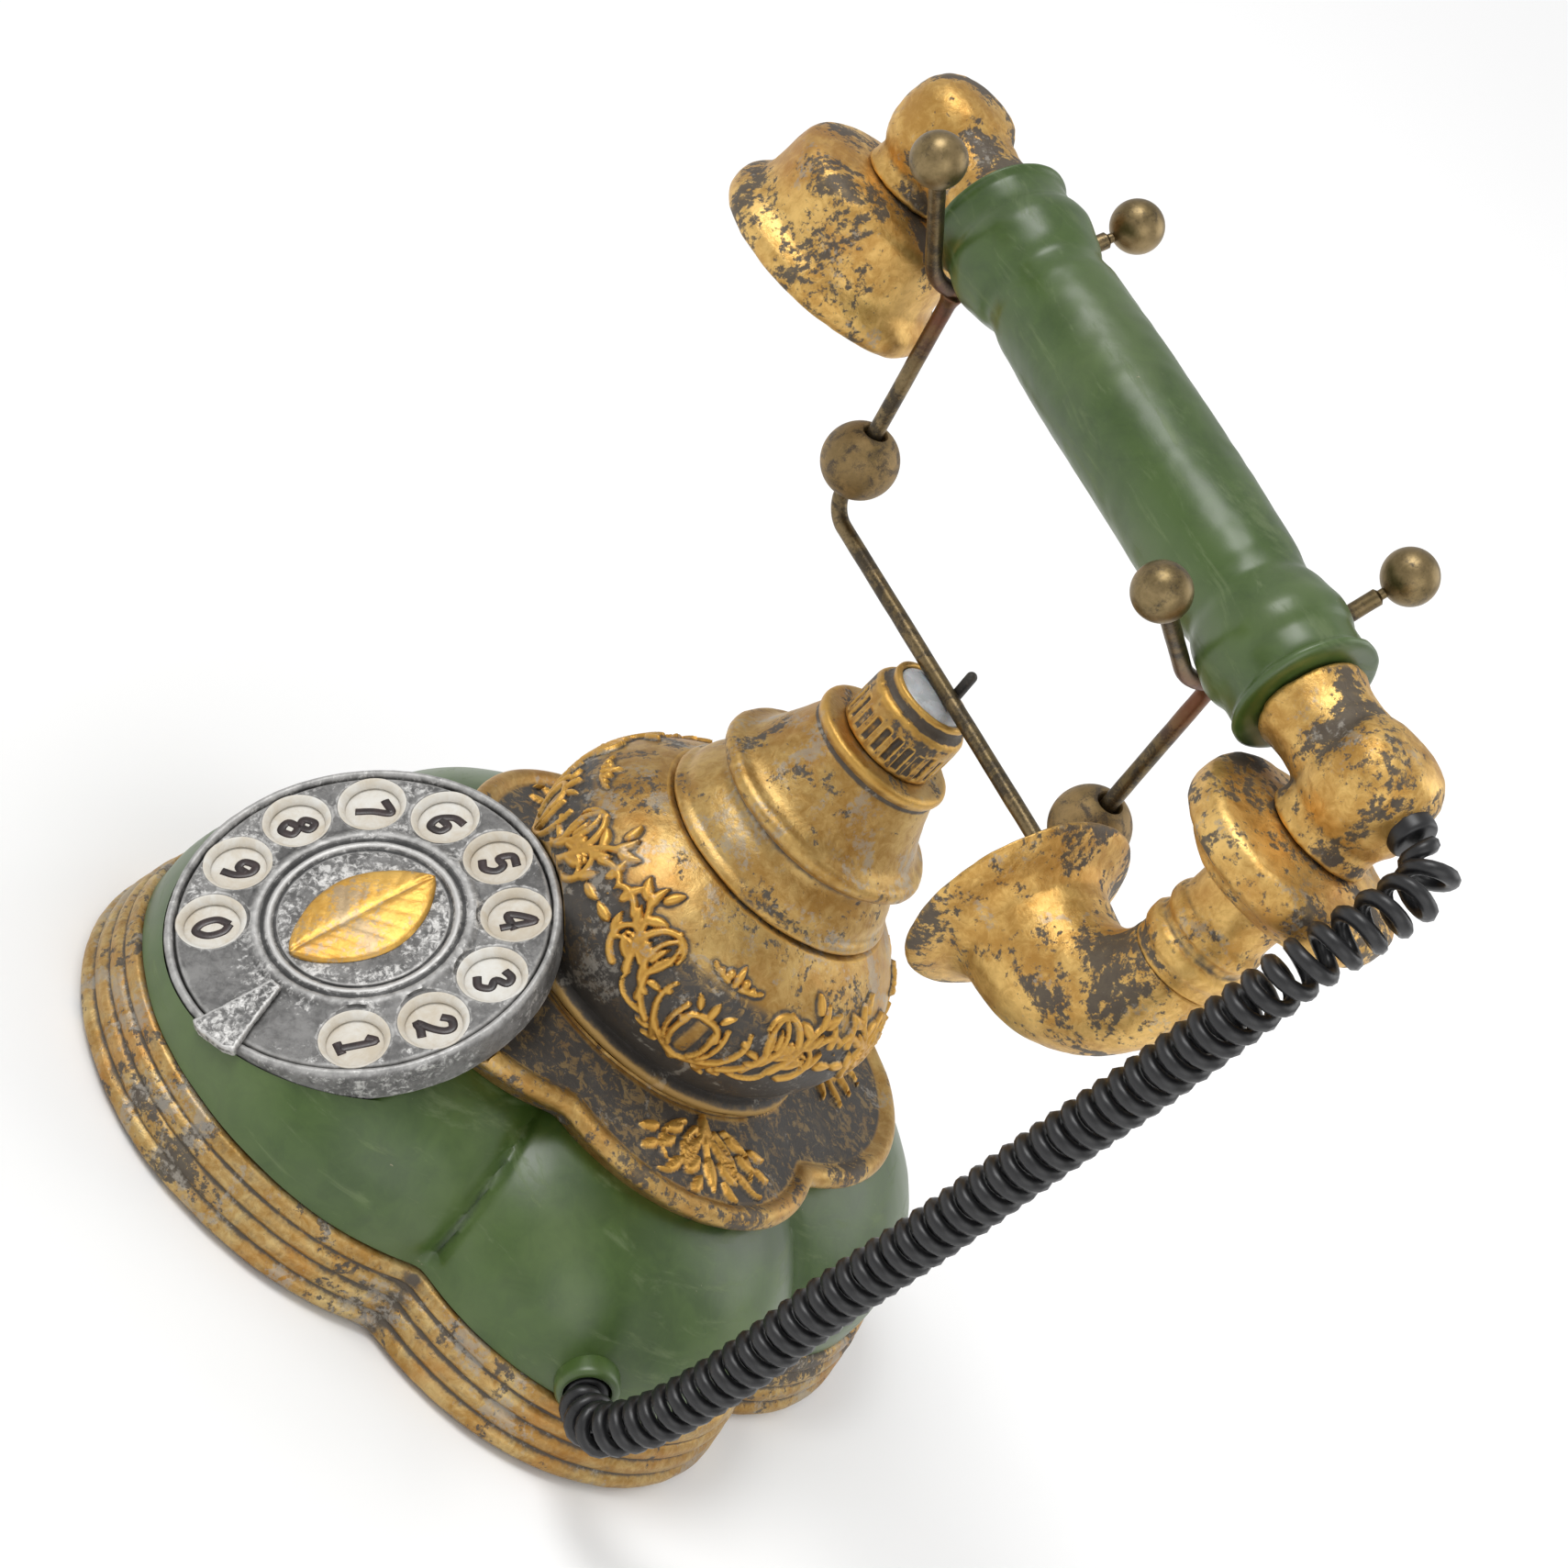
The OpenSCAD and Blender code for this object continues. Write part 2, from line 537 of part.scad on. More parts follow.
module mouth_horn() {
    bend = 19.5;
    turn = concat([[knob_x, 0, bend - horn_drop + 0.5]], [for (i = [0:9])
        [knob_x - bend + bend * cos(10 * i), 0, bend - horn_drop - bend * sin(10 * i)]],
        [[knob_x - bend - 1, 0, -horn_drop]]);
    wide = [for (i = [0:11]) 9 + 4.8 * pow(i / 11, 1.4)];
    rim = knob_x - horn_reach;
    color("goldenrod") in_hand() difference() {
        union() {
            swept(turn, wide, 28);
            translate([0, 0, -horn_drop]) turned_along_x([[0, knob_x - bend - 1], [13.8, knob_x - bend - 1],
                [14.2, rim + 7], [16, rim + 4.6], [20.4, rim + 2.6], [horn_r, rim + 1.4], [horn_r, rim + 0.4],
                [horn_r - 0.8, rim], [0, rim]]);
        }
        translate([0, 0, -horn_drop]) turned_along_x([[0, rim - 1], [20.6, rim - 1], [19.8, rim + 1.2],
            [14, rim + 4.4], [11.2, rim + 7], [11.2, rim + 15], [0, rim + 15]]);
    }
}
module mouth_grille() {
    color("dimgray") in_hand() translate([knob_x - horn_reach + 8.2, 0, -horn_drop]) rotate([0, 90, 0])
        difference() {
            cylinder(r = 11.2, h = 1.6);
            translate([0, 0, -1]) cylinder(r = 1, h = 4, $fn = 24);
            for (ring = [1, 2]) for (k = [0:6 * ring - 1]) rotate([0, 0, k * 60 / ring])
                translate([3.8 * ring, 0, -1]) cylinder(r = 1, h = 4, $fn = 24);
        }
}
module handset_cord_gland() {
    color("black") in_hand() translate([knob_x + 8, 0, 2.1]) rotate([0, 90, 0]) rotate_extrude()
        polygon([[0, 0], [4.4, 0], [4.4, 4.2], [3.6, 4.8], [0, 4.8]]);
}
module coil_cord() {
    color("black") swept(cord_route, [for (p = cord_route) coil_r], 12);
}

felt_pads();
cover_screws();
bottom_cover();
base_plinth();
body_shell();
collar();
turret_bulb();
turret_cone();
turret_cap();
turret_rod();
rod_nut();
rod_washer();
glue_plug();
tie_pin();
cradle_wire();
yoke_left();
yoke_right();
yoke_ball(0, -1);  // ball_left_front
yoke_ball(0, 1);  // ball_left_back
yoke_ball(1, -1);  // ball_right_front
yoke_ball(1, 1);  // ball_right_back
bead(0);  // bead_left
bead(1);  // bead_right
cord_boss();
base_cord_gland();
dial_case();
hub_cover();
spindle_bush();
dial_spindle();
return_spring();
number_plate();
finger_wheel();
center_disc();
dial_emblem();
finger_stop();
grip();
tie_rod();
ear_elbow();
ear_cup();
ear_cap();
mouth_elbow();
mouth_disc();
mouth_tube();
mouth_horn();
mouth_grille();
handset_cord_gland();
coil_cord();
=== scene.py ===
# Ornamental desk telephone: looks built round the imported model. Sizes are millimetres in each piece's
# own frame, and become metres when the piece is placed.
from math import asin, atan2, cos, degrees, exp, pi, radians, sin, tan

import bmesh
import bpy
import numpy as np
from mathutils import Matrix, Vector
from mathutils.kdtree import KDTree


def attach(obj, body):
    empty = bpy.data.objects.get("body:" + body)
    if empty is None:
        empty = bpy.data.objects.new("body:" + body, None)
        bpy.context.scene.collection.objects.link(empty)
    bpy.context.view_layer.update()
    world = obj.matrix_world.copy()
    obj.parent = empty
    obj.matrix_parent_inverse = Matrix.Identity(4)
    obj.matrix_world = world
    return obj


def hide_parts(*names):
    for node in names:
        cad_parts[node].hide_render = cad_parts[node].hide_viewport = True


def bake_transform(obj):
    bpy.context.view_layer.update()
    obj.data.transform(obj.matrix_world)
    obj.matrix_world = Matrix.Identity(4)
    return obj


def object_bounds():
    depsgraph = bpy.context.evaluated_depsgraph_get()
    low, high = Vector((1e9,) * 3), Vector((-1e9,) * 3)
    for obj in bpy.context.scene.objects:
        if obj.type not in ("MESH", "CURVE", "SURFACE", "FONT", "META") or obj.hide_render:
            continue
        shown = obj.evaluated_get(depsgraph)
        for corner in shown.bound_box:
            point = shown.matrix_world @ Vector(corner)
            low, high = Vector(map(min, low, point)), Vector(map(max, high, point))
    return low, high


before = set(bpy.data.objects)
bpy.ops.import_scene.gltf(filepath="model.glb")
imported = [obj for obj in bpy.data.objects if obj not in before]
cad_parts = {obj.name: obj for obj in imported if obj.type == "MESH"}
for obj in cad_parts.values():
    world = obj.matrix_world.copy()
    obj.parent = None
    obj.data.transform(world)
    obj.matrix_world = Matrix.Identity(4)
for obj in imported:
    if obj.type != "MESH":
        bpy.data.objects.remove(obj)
cadBox = [list(corner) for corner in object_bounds()]
toMetres = Matrix.Scale(0.001, 4)
print("frame loaded:", len(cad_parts), "nodes")


def turn(angle, axis):
    return Matrix.Rotation(radians(angle), 4, axis)


def shifted(x, y, z):
    return Matrix.Translation((x, y, z))


# frames of the three built-up groups, from the same sizes as the part
cradle = {"barHeight": 143.3, "yaw": 14, "lean": 16.5, "splay": 3.4, "upright": 54.2, "ends": (-45.3, 43.1),
    "yokeRadius": 14.9, "yokeLeans": (2, 16), "yokeTurn": 47, "armLength": 27, "wire": 1.6, "bend": 5,
    "ball": 5.18, "bead": 7.6, "bore": 2.3, "beadUp": 12.6}
joints = {"handMiddle": 53.6, "dialPlace": (0, -65, 48), "dialLean": 42, "bossPlace": (31, 0, 22),
    "bossTurn": -16.7}
cradleFrame = shifted(0, 0, cradle["barHeight"]) @ turn(cradle["yaw"], "Z")


def uprightFrame(i):
    foot = shifted(cradle["ends"][i], 0, 0)
    return cradleFrame @ turn(cradle["lean"], "X") @ foot @ turn((2 * i - 1) * cradle["splay"], "Y")


def yokeFrame(i):
    out = 2 * i - 1
    across = cradle["ends"][i] + out * cradle["upright"] * tan(radians(cradle["splay"]))
    foot = turn(cradle["lean"], "X") @ Vector((across, 0, cradle["upright"]))
    lift = turn(cradle["yokeLeans"][i], "X") @ Vector((0, 0, cradle["yokeRadius"]))
    return cradleFrame @ shifted(*(foot + lift)) @ turn(cradle["yokeLeans"][i], "X")


leftMiddle, rightMiddle = yokeFrame(0).translation, yokeFrame(1).translation
handLine = (rightMiddle - leftMiddle).normalized()
handFrame = (shifted(*(leftMiddle + joints["handMiddle"] * handLine))
    @ turn(degrees(atan2(handLine.y, handLine.x)), "Z") @ turn(-degrees(asin(handLine.z)), "Y"))
dialFrame = shifted(*joints["dialPlace"]) @ turn(joints["dialLean"], "X")
bossFrame = shifted(*joints["bossPlace"]) @ turn(joints["bossTurn"], "Z") @ turn(90, "Y")

studio = {"place": (0.4412, -0.4429, 0.4104), "azimuth": 45.65, "elevation": 25.95, "roll": -0.243,
    "lens": 84.28, "sun": 1.5, "sunSize": 28, "sunFrom": (-0.35, -0.75, 1.15), "sky": 0.62,
    "target": (0, 0, 0.1),
    "areas": {"fillLight": ((1.1, -0.15, 0.55), 3.2, 0.9), "rimLight": ((0.1, 1.0, 0.8), 3.2, 0.8)}}


def linked(name, data):
    thing = bpy.data.objects.new(name, data)
    bpy.context.collection.objects.link(thing)
    return thing


def makeCamera():
    az, el, ro = (radians(studio[k]) for k in ("azimuth", "elevation", "roll"))
    right = Vector((cos(az), sin(az), 0))
    back = Vector((sin(az) * cos(el), -cos(az) * cos(el), sin(el)))
    up = back.cross(right)
    right, up = right * cos(ro) + up * sin(ro), up * cos(ro) - right * sin(ro)
    # the view is rolled an eighth of a turn
    right, up = (right + up).normalized(), (up - right).normalized()
    data = bpy.data.cameras.new("viewCamera")
    data.lens = studio["lens"]
    data.sensor_width = 36
    data.clip_start, data.clip_end = 0.05, 20
    camera = linked("viewCamera", data)
    camera.matrix_world = Matrix((right, up, back)).transposed().to_4x4()
    camera.location = studio["place"]
    bpy.context.scene.camera = camera


def makeLights():
    data = bpy.data.lights.new("keySun", "SUN")
    data.energy, data.angle = studio["sun"], radians(studio["sunSize"])
    linked("keySun", data).rotation_euler = Vector(studio["sunFrom"]).to_track_quat("Z", "Y").to_euler()
    for name, (place, power, size) in studio["areas"].items():
        data = bpy.data.lights.new(name, "AREA")
        data.energy, data.size = power, size
        lamp = linked(name, data)
        lamp.location = place
        lamp.rotation_euler = (Vector(studio["target"]) - Vector(place)).to_track_quat("-Z", "Y").to_euler()


makeCamera()
makeLights()
print("camera and lights made")


def softNoise(points, size, seed=1):
    # smooth random field from -1 to 1 with lumps of about the given size in mm
    table = np.random.default_rng(seed).uniform(-1, 1, (32, 32, 32))
    p = np.asarray(points) / size + 100.37
    cell = np.floor(p).astype(int)
    f = p - cell
    f = f * f * (3 - 2 * f)
    total = np.zeros(len(p))
    for corner in range(8):
        bit = [(corner >> k) & 1 for k in range(3)]
        share = np.prod([f[:, k] if bit[k] else 1 - f[:, k] for k in range(3)], axis=0)
        total += share * table[tuple((cell[:, k] + bit[k]) % 32 for k in range(3))]
    return total


def rounded(line, rounds=2, closed=False):
    # corner cutting, which rounds every corner a little
    line = np.asarray(line, float)
    for _ in range(rounds):
        following = np.roll(line, -1, axis=0) if closed else line[1:]
        first = line if closed else line[:-1]
        early, late = 0.8 * first + 0.2 * following, 0.2 * first + 0.8 * following
        cut = np.stack([early, late], 1).reshape(-1, line.shape[1])
        line = cut if closed else np.vstack([line[:1], cut, line[-1:]])
    return line


def circle(sides):
    # the angles of a ring's points
    return np.linspace(0, 2 * pi, sides, endpoint=False)


def travelled(line):
    # distance along a line up to each of its points
    return np.concatenate([[0], np.cumsum(np.linalg.norm(np.diff(line, axis=0), axis=1))])


def spaced(line, step, closed=False):
    # the line again with evenly spaced points
    line = np.asarray(line, float)
    if closed:
        line = np.vstack([line, line[:1]])
    along = travelled(line)
    count = max(3, int(round(along[-1] / step)))
    at = np.linspace(0, along[-1], count + 1)
    line = np.stack([np.interp(at, along, line[:, k]) for k in range(line.shape[1])], 1)
    return line[:-1] if closed else line


def eased(profile, rounds, step, closed=False):
    return spaced(rounded(profile, rounds, closed), step, closed)


def gridFaces(rows, columns, wrapRows=False, wrapColumns=True):
    faces = []
    for i in range(rows if wrapRows else rows - 1):
        a, b = i * columns, ((i + 1) % rows) * columns
        for j in range(columns if wrapColumns else columns - 1):
            k = (j + 1) % columns
            faces.append((a + j, a + k, b + k, b + j))
    return faces


def capped(points, faces, rows, columns):
    # closes the first and last ring of a grid with a fan round one middle point
    points = list(map(tuple, points))
    for row, turned in ((0, True), (rows - 1, False)):
        ring = [row * columns + j for j in range(columns)]
        middle = len(points)
        points.append(tuple(np.mean([points[v] for v in ring], axis=0)))
        for j in range(columns):
            a, b = ring[j], ring[(j + 1) % columns]
            faces.append((middle, b, a) if turned else (middle, a, b))
    return points, faces


def lathe(profile, sides, closed=False, shape=None):
    # turns (radius, height) points about Z; shape(angle, radius, height) may change the radius
    profile = np.asarray(profile, float)
    angle = circle(sides)
    radius, height = np.repeat(profile[:, 0:1], sides, 1), np.repeat(profile[:, 1:2], sides, 1)
    if shape is not None:
        radius = shape(angle[None, :], radius, height)
    points = np.stack([radius * np.cos(angle), radius * np.sin(angle), height], 2).reshape(-1, 3)
    faces = gridFaces(len(profile), sides, wrapRows=closed)
    return (points, faces) if closed else capped(points, faces, len(profile), sides)


def sweep(line, radii, sides):
    # a tube along a line, its rings carried along without twisting
    line = np.asarray(line, float)
    radii = np.full(len(line), radii, float) if np.isscalar(radii) else np.asarray(radii, float)
    ways = np.gradient(line, axis=0)
    ways /= np.linalg.norm(ways, axis=1)[:, None]
    side = np.cross(ways[0], [0, 0, 1] if abs(ways[0][2]) < 0.9 else [0, 1, 0])
    rings = []
    angle = circle(sides)
    for p, w, r in zip(line, ways, radii):
        side = side - w * side.dot(w)
        side /= np.linalg.norm(side)
        other = np.cross(w, side)
        rings.append(p + r * (np.cos(angle)[:, None] * side + np.sin(angle)[:, None] * other))
    points = np.concatenate(rings)
    return capped(points, gridFaces(len(line), sides), len(line), sides)


def joined(*meshes):
    points, faces = [], []
    for more, moreFaces in meshes:
        base = len(points)
        points += list(map(tuple, more))
        faces += [tuple(v + base for v in f) for f in moreFaces]
    return points, faces


def moveMesh(mesh, matrix):
    return [tuple(matrix @ Vector(p)) for p in mesh[0]], mesh[1]


def rawObject(name, mesh, matrix=None):
    data = bpy.data.meshes.new(name)
    place = toMetres @ (matrix or Matrix.Identity(4))
    points = np.asarray(mesh[0], float) @ np.array(place.to_3x3()).T + np.array(place.translation)
    data.from_pydata(points.tolist(), [], mesh[1])
    thing = linked(name, data)
    tidyMesh(thing)
    return thing


def inMillimetres(name, mesh):
    # an object that is placed only after its cuts and copies are made
    thing = rawObject(name, mesh)
    thing.data.transform(Matrix.Scale(1000, 4))
    return thing


def placedMesh(thing, matrix):
    thing.data.transform(toMetres @ matrix)
    tidyMesh(thing)
    return thing


def tidyMesh(thing):
    work = bmesh.new()
    work.from_mesh(thing.data)
    bmesh.ops.remove_doubles(work, verts=work.verts, dist=1e-6)
    bmesh.ops.dissolve_degenerate(work, edges=work.edges, dist=1e-7)
    bmesh.ops.recalc_face_normals(work, faces=work.faces)
    work.to_mesh(thing.data)
    work.free()


def baked(thing):
    # keeps the result of the modifiers as the plain mesh
    result = bpy.data.meshes.new_from_object(thing.evaluated_get(bpy.context.evaluated_depsgraph_get()))
    thing.modifiers.clear()
    old, thing.data = thing.data, result
    bpy.data.meshes.remove(old)


def cut(thing, cutter):
    change = thing.modifiers.new("cut", "BOOLEAN")
    change.operation, change.object, change.solver = "DIFFERENCE", cutter, "EXACT"
    baked(thing)
    tidyMesh(thing)
    bpy.data.objects.remove(cutter)


def fused(thing, voxel, smoothing=6):
    # melts overlapping shapes into one skin, as a casting has
    change = thing.modifiers.new("melt", "REMESH")
    change.mode, change.voxel_size = "VOXEL", voxel * 0.001
    soft = thing.modifiers.new("soften", "SMOOTH")
    soft.factor, soft.iterations = 0.5, smoothing
    baked(thing)
    tidyMesh(thing)


def readVectors(items, name, width=3):
    values = np.empty(len(items) * width, int if name == "vertices" else float)
    items.foreach_get(name, values)
    return values.reshape(-1, width)


def lumpy(thing, depth, size, seed, fine=0.0):
    # pushes the skin in and out a little, like a hand-finished casting
    places, normals = readVectors(thing.data.vertices, "co"), readVectors(thing.data.vertices, "normal")
    push = depth * (softNoise(places * 1000, size, seed) - 0.3)
    if fine:
        push += fine * softNoise(places * 1000, size / 5, seed + 1)
    moved = places + normals * push[:, None] * 0.001
    moved = np.clip(moved, np.array(cadBox[0]) + 1e-5, np.array(cadBox[1]) - 1e-5)
    thing.data.vertices.foreach_set("co", moved.ravel())
    thing.data.update()


def markWearAndShade(thing, spread=2):
    # stores how far each point stands out (edges, above 0) or lies in a hollow (below 0), per mm
    mesh = thing.data
    places, normals = readVectors(mesh.vertices, "co"), readVectors(mesh.vertices, "normal")
    edges = readVectors(mesh.edges, "vertices", 2)
    a, b = np.concatenate([edges[:, 0], edges[:, 1]]), np.concatenate([edges[:, 1], edges[:, 0]])
    count = np.maximum(np.bincount(a, minlength=len(places)), 1)

    def around(values):
        return np.bincount(a, weights=values[b], minlength=len(places)) / count

    lengths = np.linalg.norm(places[a] - places[b], axis=1)
    square = np.bincount(a, weights=lengths ** 2, minlength=len(places)) / count
    mean = np.stack([around(places[:, k]) for k in range(3)], 1)
    bulge = ((places - mean) * normals).sum(1) / np.maximum(square, 1e-12) * 0.001
    bulge = np.clip(bulge, -1, 1)
    for _ in range(spread):
        bulge = 0.4 * bulge + 0.6 * around(bulge)
    store = mesh.attributes.new("wearAndShade", "FLOAT", "POINT")
    store.data.foreach_set("value", bulge)


def finished(thing, material, body, slotName, nodes=(), spread=2, sharp=None):
    mesh = thing.data
    mesh.polygons.foreach_set("use_smooth", [True] * len(mesh.polygons))
    if sharp:
        mesh.set_sharp_from_angle(angle=radians(sharp))
    markWearAndShade(thing, spread)
    mesh.materials.clear()
    mesh.materials.append(material)
    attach(thing, body)
    if nodes:
        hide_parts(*nodes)
    return thing
    if nodes:
        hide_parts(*nodes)


def cast(name, profile, step, sides, place, lumps, *looks, rounds=2, closed=False, shape=None, **more):
    # one turned piece from its profile: lathed, made a little uneven, painted and named
    piece = rawObject(name, lathe(eased(profile, rounds, step, closed), sides, closed, shape), place)
    if lumps:
        lumpy(piece, *lumps)
    finished(piece, *looks, **more)


class wiring:
    # adds nodes to a tree and hands back their results
    def __init__(self, tree):
        self.tree = tree

    def put(self, kind, inputs=None, **settings):
        # inputs maps a socket's name or number to a value or another node's socket
        node = self.tree.nodes.new(kind)
        for key, value in settings.items():
            setattr(node, key, value)
        for key, value in (inputs or {}).items():
            if isinstance(value, bpy.types.NodeSocket):
                self.tree.links.new(value, node.inputs[key])
            else:
                node.inputs[key].default_value = value
        return node

    def give(self, node, **values):
        for key, value in values.items():
            self.tree.links.new(value, node.inputs[key.replace("_", " ")])

    def maths(self, kind, a, b=0.0):
        return self.put("ShaderNodeMath", {0: a, 1: b}, operation=kind).outputs[0]

    def plus(self, a, b):
        return self.maths("ADD", a, b)

    def minus(self, a, b):
        return self.maths("SUBTRACT", a, b)

    def most(self, a, b):
        return self.maths("MAXIMUM", a, b)

    def times(self, first, *others):
        for other in others:
            first = self.maths("MULTIPLY", first, other)
        return first

    def mix(self, share, a, b):
        return self.put("ShaderNodeMix", {0: share, 6: a, 7: b}, data_type="RGBA").outputs[2]

    def step(self, value, low, high, to0=0.0, to1=1.0):
        inputs = {"Value": value, "From Min": low, "From Max": high, "To Min": to0, "To Max": to1}
        return self.put("ShaderNodeMapRange", inputs, interpolation_type="SMOOTHSTEP").outputs["Result"]

    def noise(self, vector, scale, detail, rough, twist=0.0):
        inputs = {"Vector": vector, "Scale": scale, "Detail": detail, "Roughness": rough,
            "Distortion": twist}
        return self.put("ShaderNodeTexNoise", inputs).outputs["Fac"]

    def stored(self, name):
        return self.put("ShaderNodeAttribute", attribute_name=name).outputs["Fac"]

    def group(self, tree, **inputs):
        values = {key.replace("_", " "): value for key, value in inputs.items()}
        return self.put("ShaderNodeGroup", values, node_tree=tree).outputs

    def bump(self, shader, height, strength, depth):
        node = self.put("ShaderNodeBump", {"Height": height, "Strength": strength,
            "Distance": depth * 0.001})
        self.give(shader, Normal=node.outputs["Normal"])


def ringOfCopies(name, source, count, radius, step, start, material):
    # copies of the source set round a circle in the XY plane, made with Geometry Nodes
    tree = bpy.data.node_groups.new(name, "GeometryNodeTree")
    newSocket = tree.interface.new_socket
    newSocket("Geometry", in_out="OUTPUT", socket_type="NodeSocketGeometry")
    newSocket("Count", in_out="INPUT", socket_type="NodeSocketInt").default_value = count
    for label, value in (("Circle Radius", radius), ("Step", radians(step)), ("Start", radians(start))):
        newSocket(label, in_out="INPUT", socket_type="NodeSocketFloat").default_value = value
    sourceKey = newSocket("Source", in_out="INPUT", socket_type="NodeSocketObject").identifier
    n, given = wiring(tree), tree.nodes.new("NodeGroupInput").outputs
    angle = n.plus(n.times(n.put("GeometryNodeInputIndex").outputs[0], given["Step"]), given["Start"])
    across, up = (n.times(n.maths(kind, angle), given["Circle Radius"]) for kind in ("COSINE", "SINE"))
    place, spin = n.put("ShaderNodeCombineXYZ", {0: across, 1: up}), n.put("ShaderNodeCombineXYZ",
        {2: angle})
    line = n.put("GeometryNodeMeshLine", {"Count": given["Count"]})
    info = n.put("GeometryNodeObjectInfo", {"Object": given["Source"]})
    spots = n.put("GeometryNodeSetPosition", {"Geometry": line.outputs["Mesh"],
        "Position": place.outputs[0]})
    copies = n.put("GeometryNodeInstanceOnPoints", {"Points": spots.outputs["Geometry"],
        "Rotation": spin.outputs[0], "Instance": info.outputs["Geometry"]})
    real = n.put("GeometryNodeRealizeInstances", {"Geometry": copies.outputs["Instances"]})
    paint = n.put("GeometryNodeSetMaterial", {"Geometry": real.outputs["Geometry"], "Material": material})
    n.give(tree.nodes.new("NodeGroupOutput"), Geometry=paint.outputs["Geometry"])
    thing = linked(name, bpy.data.meshes.new(name))
    change = thing.modifiers.new("copies", "NODES")
    change.node_group = tree
    change[sourceKey] = source
    baked(thing)
    bpy.data.objects.remove(source)
    return thing


def newGroup(name, inputs, outputs):
    tree = bpy.data.node_groups.new(name, "ShaderNodeTree")
    newSocket = tree.interface.new_socket
    newSocket("Vector", in_out="INPUT", socket_type="NodeSocketVector")
    for label, value in inputs.items():
        newSocket(label, in_out="INPUT", socket_type="NodeSocketFloat").default_value = value
    for label in outputs:
        newSocket(label, in_out="OUTPUT", socket_type="NodeSocketFloat")
    return wiring(tree), tree.nodes.new("NodeGroupInput").outputs, tree.nodes.new("NodeGroupOutput")


def makePatchGroup():
    # flaked patches of a second paint: big islands with broken, speckled edges
    n, given, out = newGroup("paintPatches", {"Size": 60.0, "Amount": 0.5, "Softness": 0.05}, ["Mask"])
    islands = n.noise(given["Vector"], given["Size"], 7.0, 0.62, 0.7)
    specks = n.noise(given["Vector"], n.times(given["Size"], 11.0), 3.0, 0.7)
    mixed = n.plus(islands, n.times(n.minus(specks, 0.5), 0.46))
    low = n.minus(1.0, given["Amount"])
    n.give(out, Mask=n.step(mixed, low, n.plus(low, given["Softness"])))
    return n.tree


def makeWearAndShadeGroup():
    # edges and hollows of a shape, broken up with fine noise: worn edges, and hollows that take patina on
    # the gold and painted shade on the green
    ranges = {"Edge Start": 0.05, "Edge Full": 0.25, "Hollow Start": 0.03, "Hollow Full": 0.2}
    n, given, out = newGroup("edgeWearAndHollowShade", ranges, ["Edge", "Hollow"])
    wearAndShade = n.stored("wearAndShade")
    shake = n.times(n.minus(n.noise(given["Vector"], 420.0, 5.0, 0.7), 0.5), 0.22)
    n.give(out, Edge=n.step(n.plus(wearAndShade, shake), given["Edge Start"], given["Edge Full"]),
        Hollow=n.step(n.minus(shake, wearAndShade), given["Hollow Start"], given["Hollow Full"]))
    return n.tree


def makeBrushGroup():
    # fine dabs of a dry brush: brightness that wanders, and a matching height
    n, given, out = newGroup("dryBrush", {"Scale": 300.0}, ["Tone", "Height"])
    broad = n.noise(given["Vector"], n.times(given["Scale"], 0.17), 4.0, 0.6, 0.4)
    fine = n.noise(given["Vector"], given["Scale"], 6.0, 0.72, 0.6)
    n.give(out, Tone=n.plus(n.times(broad, 0.55), n.times(fine, 0.45)), Height=fine)
    return n.tree


patchGroup, wearAndShadeGroup, brushGroup = makePatchGroup(), makeWearAndShadeGroup(), makeBrushGroup()


def startMaterial(name, brushScale, **fixed):
    material = bpy.data.materials.new(name)
    material.use_nodes = True
    n = wiring(material.node_tree)
    shader = n.tree.nodes["Principled BSDF"]
    for key, value in fixed.items():
        shader.inputs[key.replace("_", " ")].default_value = value
    place = n.put("ShaderNodeTexCoord").outputs["Object"]
    return material, n, shader, place, n.group(brushGroup, Vector=place, Scale=brushScale)


